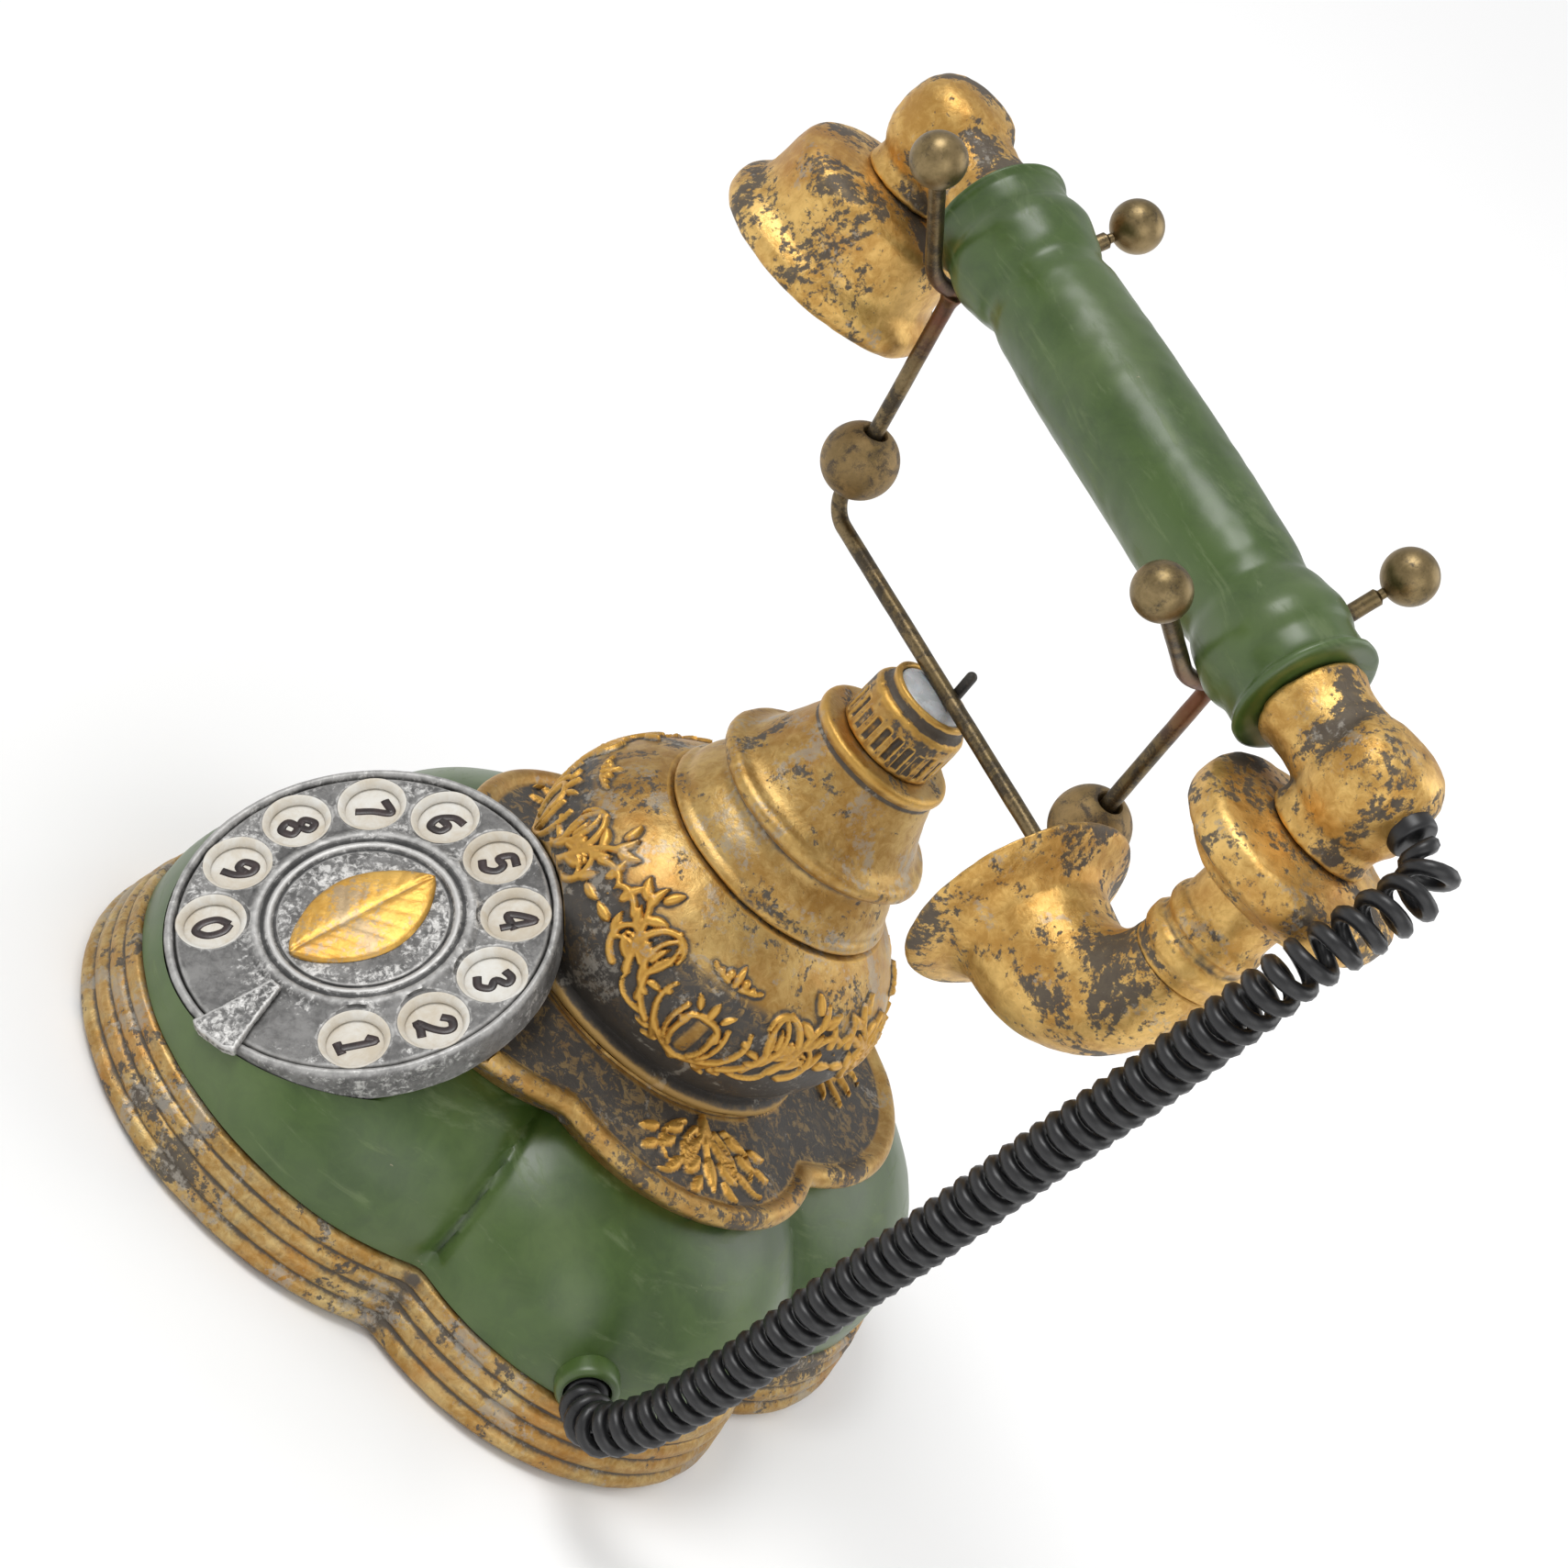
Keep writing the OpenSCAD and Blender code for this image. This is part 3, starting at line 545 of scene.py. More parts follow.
def antiqueGold(name, dark=0.42, silver=0.36, hollow=1.0, deep=(0.34, 0.185, 0.045, 1),
        pale=(0.56, 0.38, 0.14, 1), reliefDark=False, hollowRange=(0.03, 0.2), edgeRange=(0.05, 0.25)):
    # rubbed gold with orange clouds, dark flaked patches, greyish rubs, dark hollows and bright edges
    material, n, shader, place, brush = startMaterial(name, 420.0)
    gold = n.mix(n.step(brush["Tone"], 0.38, 0.64), deep, pale)
    gold = n.mix(n.step(n.noise(place, 38.0, 4.0, 0.6), 0.5, 0.72, 0, 0.55), gold, (0.40, 0.165, 0.03, 1))
    patches = n.group(patchGroup, Vector=place, Size=62.0, Amount=dark, Softness=0.07)["Mask"]
    elsewhere = n.put("ShaderNodeVectorMath", {0: place, 1: (0.31, 0.17, 0.55)}, operation="ADD").outputs[0]
    rubs = n.group(patchGroup, Vector=elsewhere, Size=85.0, Amount=silver, Softness=0.1)["Mask"]
    wearAndShade = n.group(wearAndShadeGroup, Vector=place, Hollow_Start=hollowRange[0], Hollow_Full=hollowRange[1],
        Edge_Start=edgeRange[0], Edge_Full=edgeRange[1])
    darkness = n.times(n.most(patches, n.times(wearAndShade["Hollow"], hollow)), 0.93)
    darkness = n.times(darkness, n.minus(1.0, n.times(wearAndShade["Edge"], 0.9)))
    if reliefDark:
        # dark wash behind the raised scrolls, fading to rubbed gold higher up
        relief, close = n.stored("relief"), n.stored("nearRelief")
        height = n.put("ShaderNodeSeparateXYZ", {0: place}).outputs["Z"]
        fade = n.step(n.plus(height, n.times(brush["Tone"], 0.05)), 0.106, 0.122, 1, 0)
        ground = n.times(fade, n.step(close, 0.05, 0.4), n.step(relief, 0.12, 0.4, 1, 0),
            n.step(brush["Height"], 0.5, 0.6, 1, 0.45))
        halo = n.times(n.step(close, 0.25, 0.75), n.step(relief, 0.1, 0.35, 1, 0),
            n.step(brush["Tone"], 0.36, 0.52))
        raised = n.step(relief, 0.3, 0.6)
        darkness = n.times(darkness, n.minus(1.0, n.times(raised, 0.85)))
        darkness = n.most(darkness, n.most(ground, halo))
        gold = n.mix(n.times(raised, 0.7), gold, (0.56, 0.29, 0.05, 1))
    charcoal = n.mix(brush["Tone"], (0.022, 0.020, 0.019, 1), (0.10, 0.088, 0.075, 1))
    base = n.mix(n.times(rubs, 0.6), n.mix(darkness, gold, charcoal), (0.36, 0.33, 0.28, 1))
    base = n.mix(n.times(wearAndShade["Edge"], 0.55), base, (0.68, 0.40, 0.09, 1))
    shine = n.plus(n.step(darkness, 0, 1, 0.36, 0.5), n.times(brush["Height"], 0.16))
    n.give(shader, Base_Color=base, Metallic=n.step(darkness, 0, 1, 0.82, 0.25), Roughness=shine)
    grain = n.plus(brush["Height"], n.times(n.noise(place, 1500.0, 3.0, 0.6), 0.5))
    n.bump(shader, n.minus(grain, n.times(patches, 0.35)), 0.55, 0.22)
    return material


def leafGreen(name):
    # two greens with pale streaks and clouds, a few chips, painted shade darkening the creases and hollows,
    # and lighter edges
    material, n, shader, place, brush = startMaterial(name, 160.0, Coat_Weight=0.25, Coat_Roughness=0.28,
        Specular_IOR_Level=0.5)
    paint = n.mix(n.step(brush["Tone"], 0.35, 0.65), (0.029, 0.061, 0.008, 1), (0.052, 0.099, 0.015, 1))
    stretch = {"Vector": place, "Scale": (26.0, 26.0, 150.0), "Rotation": (0.5, 0.7, 0.2)}
    streak = n.put("ShaderNodeMapping", stretch).outputs[0]
    rub = n.step(n.noise(streak, 2.2, 7.0, 0.7, 0.5), 0.52, 0.68, 0, 0.4)
    cloud = n.step(n.noise(place, 30.0, 3.0, 0.5), 0.48, 0.68, 0, 0.26)
    paint = n.mix(n.most(rub, cloud), paint, (0.16, 0.21, 0.09, 1))
    chips = n.group(patchGroup, Vector=place, Size=130.0, Amount=0.262, Softness=0.03)["Mask"]
    paint = n.mix(n.times(chips, 0.7), paint, (0.36, 0.31, 0.20, 1))
    wearAndShade = n.group(wearAndShadeGroup, Vector=place, Hollow_Start=0.08, Hollow_Full=0.2, Edge_Start=0.12,
        Edge_Full=0.5)
    # painted shade: the creases and hollows of the green are darkened to a near-black green
    paint = n.mix(n.times(wearAndShade["Hollow"], 0.75), paint, (0.010, 0.022, 0.009, 1))
    paint = n.mix(n.times(wearAndShade["Edge"], 0.25), paint, (0.16, 0.24, 0.11, 1))
    n.give(shader, Base_Color=paint, Roughness=n.plus(n.step(rub, 0, 0.28, 0.34, 0.5),
        n.times(brush["Height"], 0.1)))
    height = n.plus(n.noise(place, 90.0, 3.0, 0.5), n.times(brush["Height"], 0.35))
    n.bump(shader, n.minus(height, n.times(chips, 0.5)), 0.35, 0.3)
    return material


def greyDial(name, bright):
    # dark grey with silver dragged over its patches and edges
    material, n, shader, place, brush = startMaterial(name, 620.0)
    ground = n.mix(n.step(brush["Tone"], 0.36, 0.62), (0.075, 0.073, 0.071, 1), (0.21, 0.206, 0.20, 1))
    silver = n.group(patchGroup, Vector=place, Size=95.0, Amount=bright, Softness=0.12)["Mask"]
    wearAndShade = n.group(wearAndShadeGroup, Vector=place, Edge_Start=0.04, Edge_Full=0.22)
    silver = n.most(n.times(silver, n.step(brush["Height"], 0.42, 0.6)), n.times(wearAndShade["Edge"], 0.85))
    base = n.mix(n.times(silver, 0.85), ground, (0.66, 0.65, 0.63, 1))
    base = n.mix(n.times(wearAndShade["Hollow"], 0.8), base, (0.03, 0.03, 0.03, 1))
    n.give(shader, Base_Color=base, Metallic=n.step(silver, 0, 1, 0.15, 0.6),
        Roughness=n.plus(n.times(brush["Height"], 0.2), 0.36))
    n.bump(shader, brush["Height"], 0.6, 0.2)
    return material


def oldBrass(name, light, dark=(0.035, 0.028, 0.02, 1), amount=0.55, size=150.0, metallic=0.95,
        roughness=0.27, rust=0.0):
    material, n, shader, place, brush = startMaterial(name, 700.0)
    patches = n.group(patchGroup, Vector=place, Size=size, Amount=amount, Softness=0.22)["Mask"]
    shade = (light[0] * 0.6, light[1] * 0.6, light[2] * 0.55, 1)
    base = n.mix(n.step(brush["Tone"], 0.36, 0.66), shade, light)
    base = n.mix(n.times(patches, 0.85), base, dark)
    if rust:
        # reddish-brown stain on the uprights, just under the yokes
        height = n.put("ShaderNodeSeparateXYZ", {0: place}).outputs["Z"]
        stain = n.times(n.step(height, 0.176, 0.19), n.step(height, 0.193, 0.2, 1, 0),
            n.step(brush["Tone"], 0.35, 0.6, 0.3, rust))
        base = n.mix(stain, base, (0.15, 0.055, 0.03, 1))
    n.give(shader, Base_Color=base, Metallic=n.step(patches, 0, 1, metallic, metallic * 0.7),
        Roughness=n.plus(n.times(brush["Height"], 0.25), roughness))
    n.bump(shader, brush["Height"], 0.3, 0.12)
    return material


def plainPaint(name, light, dark, scale, roughness, bump, hollows=0.0, **fixed):
    material, n, shader, place, brush = startMaterial(name, scale, **fixed)
    base = n.mix(n.step(brush["Tone"], 0.34, 0.66), (*dark, 1), (*light, 1))
    if hollows:
        wearAndShade = n.group(wearAndShadeGroup, Vector=place)
        base = n.mix(n.times(wearAndShade["Hollow"], hollows), base, (*dark, 1))
    n.give(shader, Base_Color=base, Roughness=n.plus(n.times(brush["Height"], 0.2), roughness - 0.1))
    n.bump(shader, brush["Height"], 0.4, bump)
    return material


goldRim = antiqueGold("goldRim", dark=0.445, silver=0.47, pale=(0.58, 0.43, 0.19, 1),
    hollowRange=(-0.03, 0.07), edgeRange=(0.03, 0.16))
goldCollar = antiqueGold("goldCollar", dark=0.46, silver=0.40, reliefDark=True)
goldTurret = antiqueGold("goldTurret", dark=0.44, silver=0.46)
goldCap = antiqueGold("goldCap", dark=0.52, silver=0.42)
goldScrolls = antiqueGold("goldScrolls", dark=0.43, silver=0.44, reliefDark=True)
goldHandset = antiqueGold("goldHandset", dark=0.48, silver=0.40, deep=(0.46, 0.25, 0.06, 1),
    pale=(0.80, 0.53, 0.18, 1))
leafGold = antiqueGold("leafGold", dark=0.2, silver=0.52, hollow=0.6, deep=(0.62, 0.33, 0.06, 1),
    pale=(0.80, 0.50, 0.13, 1))
green = leafGreen("leafGreen")
dialGrey = greyDial("dialGrey", 0.50)
dialSilver = greyDial("dialSilver", 0.58)
brassWire = oldBrass("agedBrassWire", (0.26, 0.19, 0.10, 1), amount=0.6, size=210.0, rust=0.9)
brassBall = oldBrass("agedBrassBall", (0.30, 0.22, 0.11, 1), amount=0.46, size=160.0)
beadPaint = oldBrass("mottledBead", (0.36, 0.24, 0.10, 1), dark=(0.05, 0.038, 0.03, 1), amount=0.54,
    size=380.0, metallic=0.55, roughness=0.42)
dotWhite = plainPaint("dotWhite", (0.74, 0.73, 0.69), (0.56, 0.49, 0.38), 260.0, 0.5, 0.08, hollows=0.4)
digitInk = plainPaint("digitInk", (0.040, 0.022, 0.022), (0.012, 0.008, 0.008), 900.0, 0.32, 0.05)
cordBlack = plainPaint("cordBlack", (0.016, 0.016, 0.017), (0.008, 0.008, 0.009), 800.0, 0.38, 0.03,
    Specular_IOR_Level=0.5)
glueMilk = plainPaint("milkyGlue", (0.56, 0.58, 0.61), (0.36, 0.37, 0.38), 240.0, 0.28, 0.3,
    Subsurface_Weight=0.2, Subsurface_Scale=0.004)
feltBlack = plainPaint("blackFelt", (0.035, 0.035, 0.037), (0.012, 0.012, 0.013), 2500.0, 0.95, 0.5,
    Sheen_Weight=0.4)
blackCover = plainPaint("blackCover", (0.030, 0.030, 0.030), (0.018, 0.018, 0.018), 1600.0, 0.55, 0.12)
steel = plainPaint("zincSteel", (0.50, 0.50, 0.49), (0.30, 0.30, 0.30), 1100.0, 0.35, 0.05, Metallic=1.0)
bushBrass = plainPaint("turnedBrass", (0.60, 0.42, 0.16), (0.42, 0.28, 0.09), 1100.0, 0.3, 0.05,
    Metallic=1.0)
darkPin = plainPaint("darkPin", (0.08, 0.07, 0.06), (0.03, 0.03, 0.03), 900.0, 0.5, 0.15, Metallic=0.6)
print("materials made")

# the cord: one long helix along the route of the part's fat tube; its ends are in metres
cord = {
    "turns": 55, "wire": 1.42, "helix": 3.78, "perTurn": 16, "sides": 8, "looseTop": 1.4,
    "looseSpan": 0.16, "start": (0.0798, -0.0147, 0.022), "end": (0.0989, 0.0026, 0.2114),
    "exit": (0.0795, -0.0145, 0.022), "easeIn": 0.55,
    "route": [(98.9, 2.6, 211.4), (102, 3.2, 211.4), (105.8, 1.8, 209.4), (108.6, -2.6, 204.8),
        (110.8, -7.6, 198), (111.5, -10.7, 190), (110.9, -11.3, 179), (108, -10.4, 156), (105, -10.6, 133),
        (102, -11.2, 105), (99, -12, 81), (97, -13, 56), (94, -14.5, 37), (89.5, -16.5, 25.5),
        (84, -16, 22.2), (79.8, -14.7, 22)]}


def curvy(points, step):
    # a smooth line through the points
    points = np.asarray(points, float)
    ends = np.vstack([2 * points[0] - points[1], points, 2 * points[-1] - points[-2]])
    line = []
    for a, b, c, d in zip(ends[:-3], ends[1:-2], ends[2:-1], ends[3:]):
        for t in np.linspace(0, 1, 24, endpoint=False):
            bow, twist = 2 * a - 5 * b + 4 * c - d, 3 * b - a - 3 * c + d
            line.append(0.5 * (2 * b + (c - a) * t + bow * t ** 2 + twist * t ** 3))
    return spaced(np.vstack([line, points[-1:]]), step)


def makeCord():
    middle = curvy(cord["route"], 0.5)
    count = cord["turns"] * cord["perTurn"]
    share = np.linspace(0, 1, count + 1)
    # turns stand further apart near the handset, where the cord bends over
    pace = 1 + (cord["looseTop"] - 1) * np.exp(-(share / cord["looseSpan"]) ** 2)
    along = np.concatenate([[0], np.cumsum((pace[1:] + pace[:-1]) / 2)])
    along = along / along[-1] * (len(middle) - 1)
    low = np.minimum(along.astype(int), len(middle) - 2)
    places = middle[low] + (along - low)[:, None] * (middle[low + 1] - middle[low])
    ways = np.gradient(places, axis=0)
    ways /= np.linalg.norm(ways, axis=1)[:, None]
    side, line = np.array([0.0, 1.0, 0.0]), []
    for k, (p, w) in enumerate(zip(places, ways)):
        side = side - w * side.dot(w)
        side /= np.linalg.norm(side)
        angle = 2 * pi * k / cord["perTurn"]
        grow = min(1, k / cord["perTurn"] / cord["easeIn"], (count - k) / cord["perTurn"] / cord["easeIn"])
        reach = cord["helix"] * grow * grow * (3 - 2 * grow)
        line.append(p + reach * (cos(angle) * side + sin(angle) * np.cross(w, side)))
    line = np.array(line)
    piece = rawObject("curlyCord", sweep(line, cord["wire"], cord["sides"]))
    piece.data.polygons.foreach_set("use_smooth", [True] * len(piece.data.polygons))
    piece.data.materials.append(cordBlack)
    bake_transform(piece)
    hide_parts("coil_cord")


makeCord()

# base: lofts round the four lobes, each (distance out, radius)
lobes = {"front": (39.5, 56.8), "side": (31.0, 51.3), "blend": 0.9, "sides": 432, "mean": 60,
    "creaseWidth": 2.2}


def lobeReach(angle, inset, shrink=1.0, share=1.0, least=0.0, groove=0.0):
    # distance from the middle to the skin of the four joined lobes, in each direction
    k, mean, skins = lobes["blend"], lobes["mean"], []
    total = np.full(angle.shape, exp(least / k - mean / k)) if least else np.zeros(angle.shape)
    for heading in (0, 90, 180, 270):
        away, radius = lobes["front"] if heading % 180 else lobes["side"]
        off = angle - radians(heading)
        reach = (radius * share - inset) * shrink
        under = reach ** 2 - (away * share * np.sin(off)) ** 2
        far = away * share * np.cos(off) + np.sqrt(np.maximum(under, 0))
        skins.append(np.where((under > 0) & (far > 0), far, 0))
        total += np.where(skins[-1] > 0, np.exp((skins[-1] - mean) / k), 0)
    first, second = np.sort(skins, axis=0)[[-1, -2]]
    crease = np.exp(-((first - second) / lobes["creaseWidth"]) ** 2)
    return mean + k * np.log(np.maximum(total, 1e-300)) - groove * crease


def loft(rows, closed):
    # rows are (radius by angle, height by angle)
    angle = circle(lobes["sides"])
    rings = [np.stack([r * np.cos(angle), r * np.sin(angle), z * np.ones_like(angle)], 1) for r, z in rows]
    points = np.concatenate(rings)
    faces = gridFaces(len(rings), lobes["sides"], wrapRows=closed)
    return (points, faces) if closed else capped(points, faces, len(rings), lobes["sides"])


around = circle(lobes["sides"])


def cutAway(piece, profile, sides, place):
    cut(piece, rawObject("cutter", lathe(profile, sides), place))


def clearDial(piece):
    cutAway(piece, [(37.15, -8), (37.15, 60)], 160, dialFrame)


rim = {"steps": [(9, 3.2), (5.4, 3.2), (5.3, 1), (0.8, 1), (0, 2), (0, 3.6), (0.9, 4.6), (1.4, 5),
    (0.8, 5.6), (0.7, 7.6), (1.5, 8.6), (2.1, 9), (1.5, 9.6), (1.5, 11.4), (2.4, 12.4), (3, 12.7),
    (2.4, 13.2), (2.6, 14.8), (3.4, 16.4), (17, 16.4), (17, 12), (9, 12)], "step": 0.42,
    "lumps": (0.22, 16, 3, 0.08), "unseen": 5.2}


def makeRim():
    outline = eased(rim["steps"], 2, rim["step"], closed=True)
    coarse = [p for i, p in enumerate(outline) if p[0] < rim["unseen"] or i % 5 == 0]
    piece = rawObject("goldRimPiece", loft([(lobeReach(around, inset), z) for inset, z in coarse], True))
    lumpy(piece, *rim["lumps"])
    finished(piece, goldRim, "base", "gold_resin", ["base_plinth"], spread=1)


body = {"inset": 4.1, "wall": (16.4, 17.4, 18.6), "domeFoot": 20, "rise": 34, "top": 50, "rows": 60,
    "least": 33, "groove": 1.8, "lumps": (0.3, 22, 5, 0.05), "bossBore": [(5.6, 44), (5.6, 70)]}


def makeBody():
    last = asin((body["top"] - body["domeFoot"]) / body["rise"])
    rows = [(lobeReach(around, body["inset"]), z) for z in body["wall"]]
    for a in np.linspace(0, last, body["rows"]):
        reach = lobeReach(around, body["inset"], shrink=cos(a), least=body["least"], groove=body["groove"])
        rows.append((np.maximum(reach, body["least"]), body["domeFoot"] + body["rise"] * sin(a)))
    piece = rawObject("greenBody", loft(rows, False))
    lumpy(piece, *body["lumps"])
    clearDial(piece)
    cutAway(piece, body["bossBore"], 64, bossFrame)
    finished(piece, green, "base", "green_resin", ["body_shell"], spread=3, sharp=50)


makeRim()
makeBody()
print("rim and body made")


# raised scrolls are strokes: rows of points (x, y, width, height) drawn flat, then laid on a skin
def curl(start, heading, length, bend0, bend1, width0, width1, height=1.0, count=26):
    # one stroke whose bend changes steadily, so it ends in a curl; bends are degrees per mm
    x, y, way = start[0], start[1], radians(heading)
    step, points = length / (count - 1), []
    for k in range(count):
        t = k / (count - 1)
        points.append((x, y, width0 + (width1 - width0) * t, height))
        way += radians(bend0 + (bend1 - bend0) * t) * step
        x, y = x + step * cos(way), y + step * sin(way)
    return points


def leafLobe(start, heading, length, width, bend=0.0, height=1.0, count=14):
    # a teardrop: narrow at the stem, fat past the middle, pointed at the tip
    x, y, way = start[0], start[1], radians(heading)
    step, points = length / (count - 1), []
    for k in range(count):
        points.append((x, y, width * (sin(pi * (k / (count - 1)) ** 0.75) * 0.85 + 0.15), height))
        way += radians(bend) * step
        x, y = x + step * cos(way), y + step * sin(way)
    return points


def leaves(spots, width, bend, height, share=1.0):
    return [leafLobe((x, y), way, size * share, width, bend, height) for x, y, way, size in spots]


def knob(at, width, height=1.1):
    return [(at[0], at[1], width, height), (at[0] + 0.01, at[1], width, height)]


def reliefOn(places, strokes, spread=1.6):
    # height of the strokes over each flat place, and how near a stroke is
    tree, data = KDTree(sum(len(s) for s in strokes)), []
    for stroke in strokes:
        for point in stroke:
            tree.insert((point[0], point[1], 0), len(data))
            data.append(point)
    tree.balance()
    height, close = np.zeros(len(places)), np.zeros(len(places))
    for i, (x, y) in enumerate(places):
        best, near = 0.0, 0.0
        for _, j, far in tree.find_range((x, y, 0), 3.4):
            width, tall = data[j][2], data[j][3]
            t = far / width
            if t < 1:
                best = max(best, tall * (1 - t * t) ** 0.5)
            near = max(near, 1 - far / (width * spread + 0.8))
        height[i], close[i] = best, near
    return height, close


def scrollMotif():
    # one quarter of the bulb's band: an oval shield with a stem of curls on each side, and a sprig above
    half = [curl((0.8, -6.2), 20, 15, 1.5, 9, 0.85, 0.5), curl((5.5, -5.6), 62, 13, -3, 12, 0.8, 0.45),
        curl((8.6, -3.6), 30, 15, 3.2, 10, 0.8, 0.4), curl((12.5, -1.2), 76, 14, -2.5, -12, 0.85, 0.45),
        curl((14.5, 2.0), 55, 12, 4, 13, 0.75, 0.45), curl((14.0, 4.4), 120, 10, -3, -16, 0.7, 0.4),
        curl((10.5, -3.0), -12, 9, 4, 22, 0.7, 0.4), curl((16.6, 4.2), 35, 9, -6, -22, 0.7, 0.4)]
    half += leaves(((4.2, -5.7, -28, 3.6), (6.9, -4.6, -15, 3.4), (9.8, -2.4, -30, 3.2),
        (11.6, 0.6, 8, 3.6), (13.2, 2.6, 158, 3.4), (15.2, 5.6, 84, 4.2), (14.2, 5.8, 118, 3.8),
        (16.2, 5.0, 50, 3.8)), 0.8, 8, 0.9)
    half += [curl((0, 4.4), 8, 5.4, -12, -22, 0.75, 0.6), curl((3.2, 2.6), -82, 7.4, 1, -14, 0.75, 0.6),
        curl((4.7, 4.6), -70, 9, -4, -9, 0.6, 0.5), knob((18.2, 7.2), 0.9), knob((9.0, 4.2), 0.75),
        leafLobe((2.4, 5.2), 62, 3.4, 0.7, bend=-6), curl((1.6, 12.5), 18, 4.6, -10, 20, 0.6, 0.45),
        knob((1.9, 13.8), 1.0), knob((3.9, 13.3), 0.75)]
    # sprays of leaves climbing between one shield and the next
    half += [curl((17.5, 1.0), 62, 17, 2.5, -8, 1.0, 0.6), curl((19.5, 7.5), 98, 13, 6, 22, 0.9, 0.5),
        curl((20.5, 0.0), 20, 12, 8, 20, 0.9, 0.5), curl((24.0, 9.0), 40, 10, -4, -26, 0.85, 0.5)]
    half += leaves(((18.2, 3.0, 10, 5.0), (19.6, 5.4, 138, 4.6), (20.6, 7.6, 22, 5.2),
        (21.6, 10.0, 132, 4.6), (23.2, 11.6, 62, 5.4), (24.6, 12.4, 20, 5.0), (23.4, 3.6, 40, 4.6),
        (26.4, 4.6, -10, 4.0), (27.8, 8.4, 80, 5.0), (22.2, 14.6, 100, 4.4)), 1.15, 7, 1.0)
    half = [[(x, y, w * bulb["fatter"], h) for x, y, w, h in stroke] for stroke in half]
    whole = half + [[(-x, y, w, h) for x, y, w, h in stroke] for stroke in half]
    whole += [leafLobe((0, 4.8), 90, 3.6, 1.0), knob((0, -6.6), 1.3), leafLobe((0, 12.0), 90, 4.6, 1.0),
        curl((0, -3.6), 90, 6.4, 0, 0, 1.7, 1.7, height=0.35)]
    return whole


bulb = {"radius": 39, "sides": 720, "step": 0.36, "relief": 1.15, "repeats": 4, "heading": -26,
    "middle": 74.5, "fatter": 1.06, "foot": [(0.01, 57.6), (34.4, 57.5), (35.2, 58.2), (35.2, 59.1),
    (34.2, 59.8), (32.4, 60.35)]}


def storeRelief(piece, points, height, close):
    # merged points are looked up by place, so each keeps its own relief
    tree = KDTree(len(points))
    for i, point in enumerate(points):
        tree.insert(point, i)
    tree.balance()
    which = [tree.find(vertex.co * 1000)[1] for vertex in piece.data.vertices]
    for label, values in (("relief", height), ("nearRelief", close)):
        store = piece.data.attributes.new(label, "FLOAT", "POINT")
        store.data.foreach_set("value", values[which])


def makeBulb():
    # two quarter ovals, one hanging below the widest place and one rising above it
    wide, top = bulb["radius"], sin(radians(48.2))
    profile = [(wide * cos(a), 76 - 28 * sin(a)) for a in np.radians(np.linspace(33, 0, 14))]
    profile += [(wide * cos(a), 76 + 19 * sin(a) / top) for a in np.radians(np.linspace(4, 48.2, 14))]
    line = eased(bulb["foot"] + profile + [(16, 95.0)], 1, bulb["step"])
    line = line[[i for i, p in enumerate(line) if p[0] > 24.5 or i % 8 == 0]]
    points, faces = lathe(line, bulb["sides"])
    points = np.array(points)
    spin = np.degrees(np.arctan2(points[:, 1], points[:, 0])) - bulb["heading"]
    wedge = 360 / bulb["repeats"]
    across = ((spin + wedge / 2) % wedge - wedge / 2) * pi / 180 * wide
    # distance along the profile from the motif's middle
    lengths = travelled(line)
    centre = np.interp(bulb["middle"], line[line[:, 0] > 32][:, 1], lengths[line[:, 0] > 32])
    up = np.concatenate([np.repeat(lengths, bulb["sides"]), [0, lengths[-1]]]) - centre
    mask = (up > -11) & (up < 22) & (points[:, 2] > 62)
    height, close = np.zeros(len(points)), np.zeros(len(points))
    height[mask], close[mask] = reliefOn(np.stack([across, up], 1)[mask], scrollMotif())
    close = np.maximum(close, np.clip((87 - points[:, 2]) / 7, 0, 1))
    radial = np.hypot(points[:, 0], points[:, 1])
    slope = np.gradient(line, axis=0)
    normal = np.stack([slope[:, 1], -slope[:, 0]], 1) / np.linalg.norm(slope, axis=1)[:, None]
    normal = np.concatenate([np.repeat(normal, bulb["sides"], 0), [[0, -1], [0, 1]]])
    out = points[:, :2] / np.maximum(radial, 1e-6)[:, None]
    push = bulb["relief"] * height + 0.16 * softNoise(points, 9, 8) + 0.05 * softNoise(points, 2, 9)
    points[:, :2] += out * (normal[:, 0] * push)[:, None]
    points[:, 2] += normal[:, 1] * push * (points[:, 2] > 57.6)
    piece = rawObject("scrollBulb", (points, faces))
    storeRelief(piece, points, height, close)
    clearDial(piece)
    finished(piece, goldScrolls, "base", "dark_gold_resin", ["turret_bulb"], sharp=60)


makeBulb()
print("bulb made")


collar = {"share": 0.7, "rows": 84, "relief": 1.25, "headings": (0, 90, 180, 270), "foot": 47.2,
    "leafFrom": 37, "edge": [(3.4, 47.2), (2.0, 49), (1.2, 50.1), (0.2, 50.8), (0, 51.9), (0.3, 53),
    (1.3, 53.9), (2.6, 54.1), (3.6, 53.6), (4.4, 53.1)], "inner": [(34.3, 57.3), (33.2, 57.5),
    (12.0, 57.5)]}


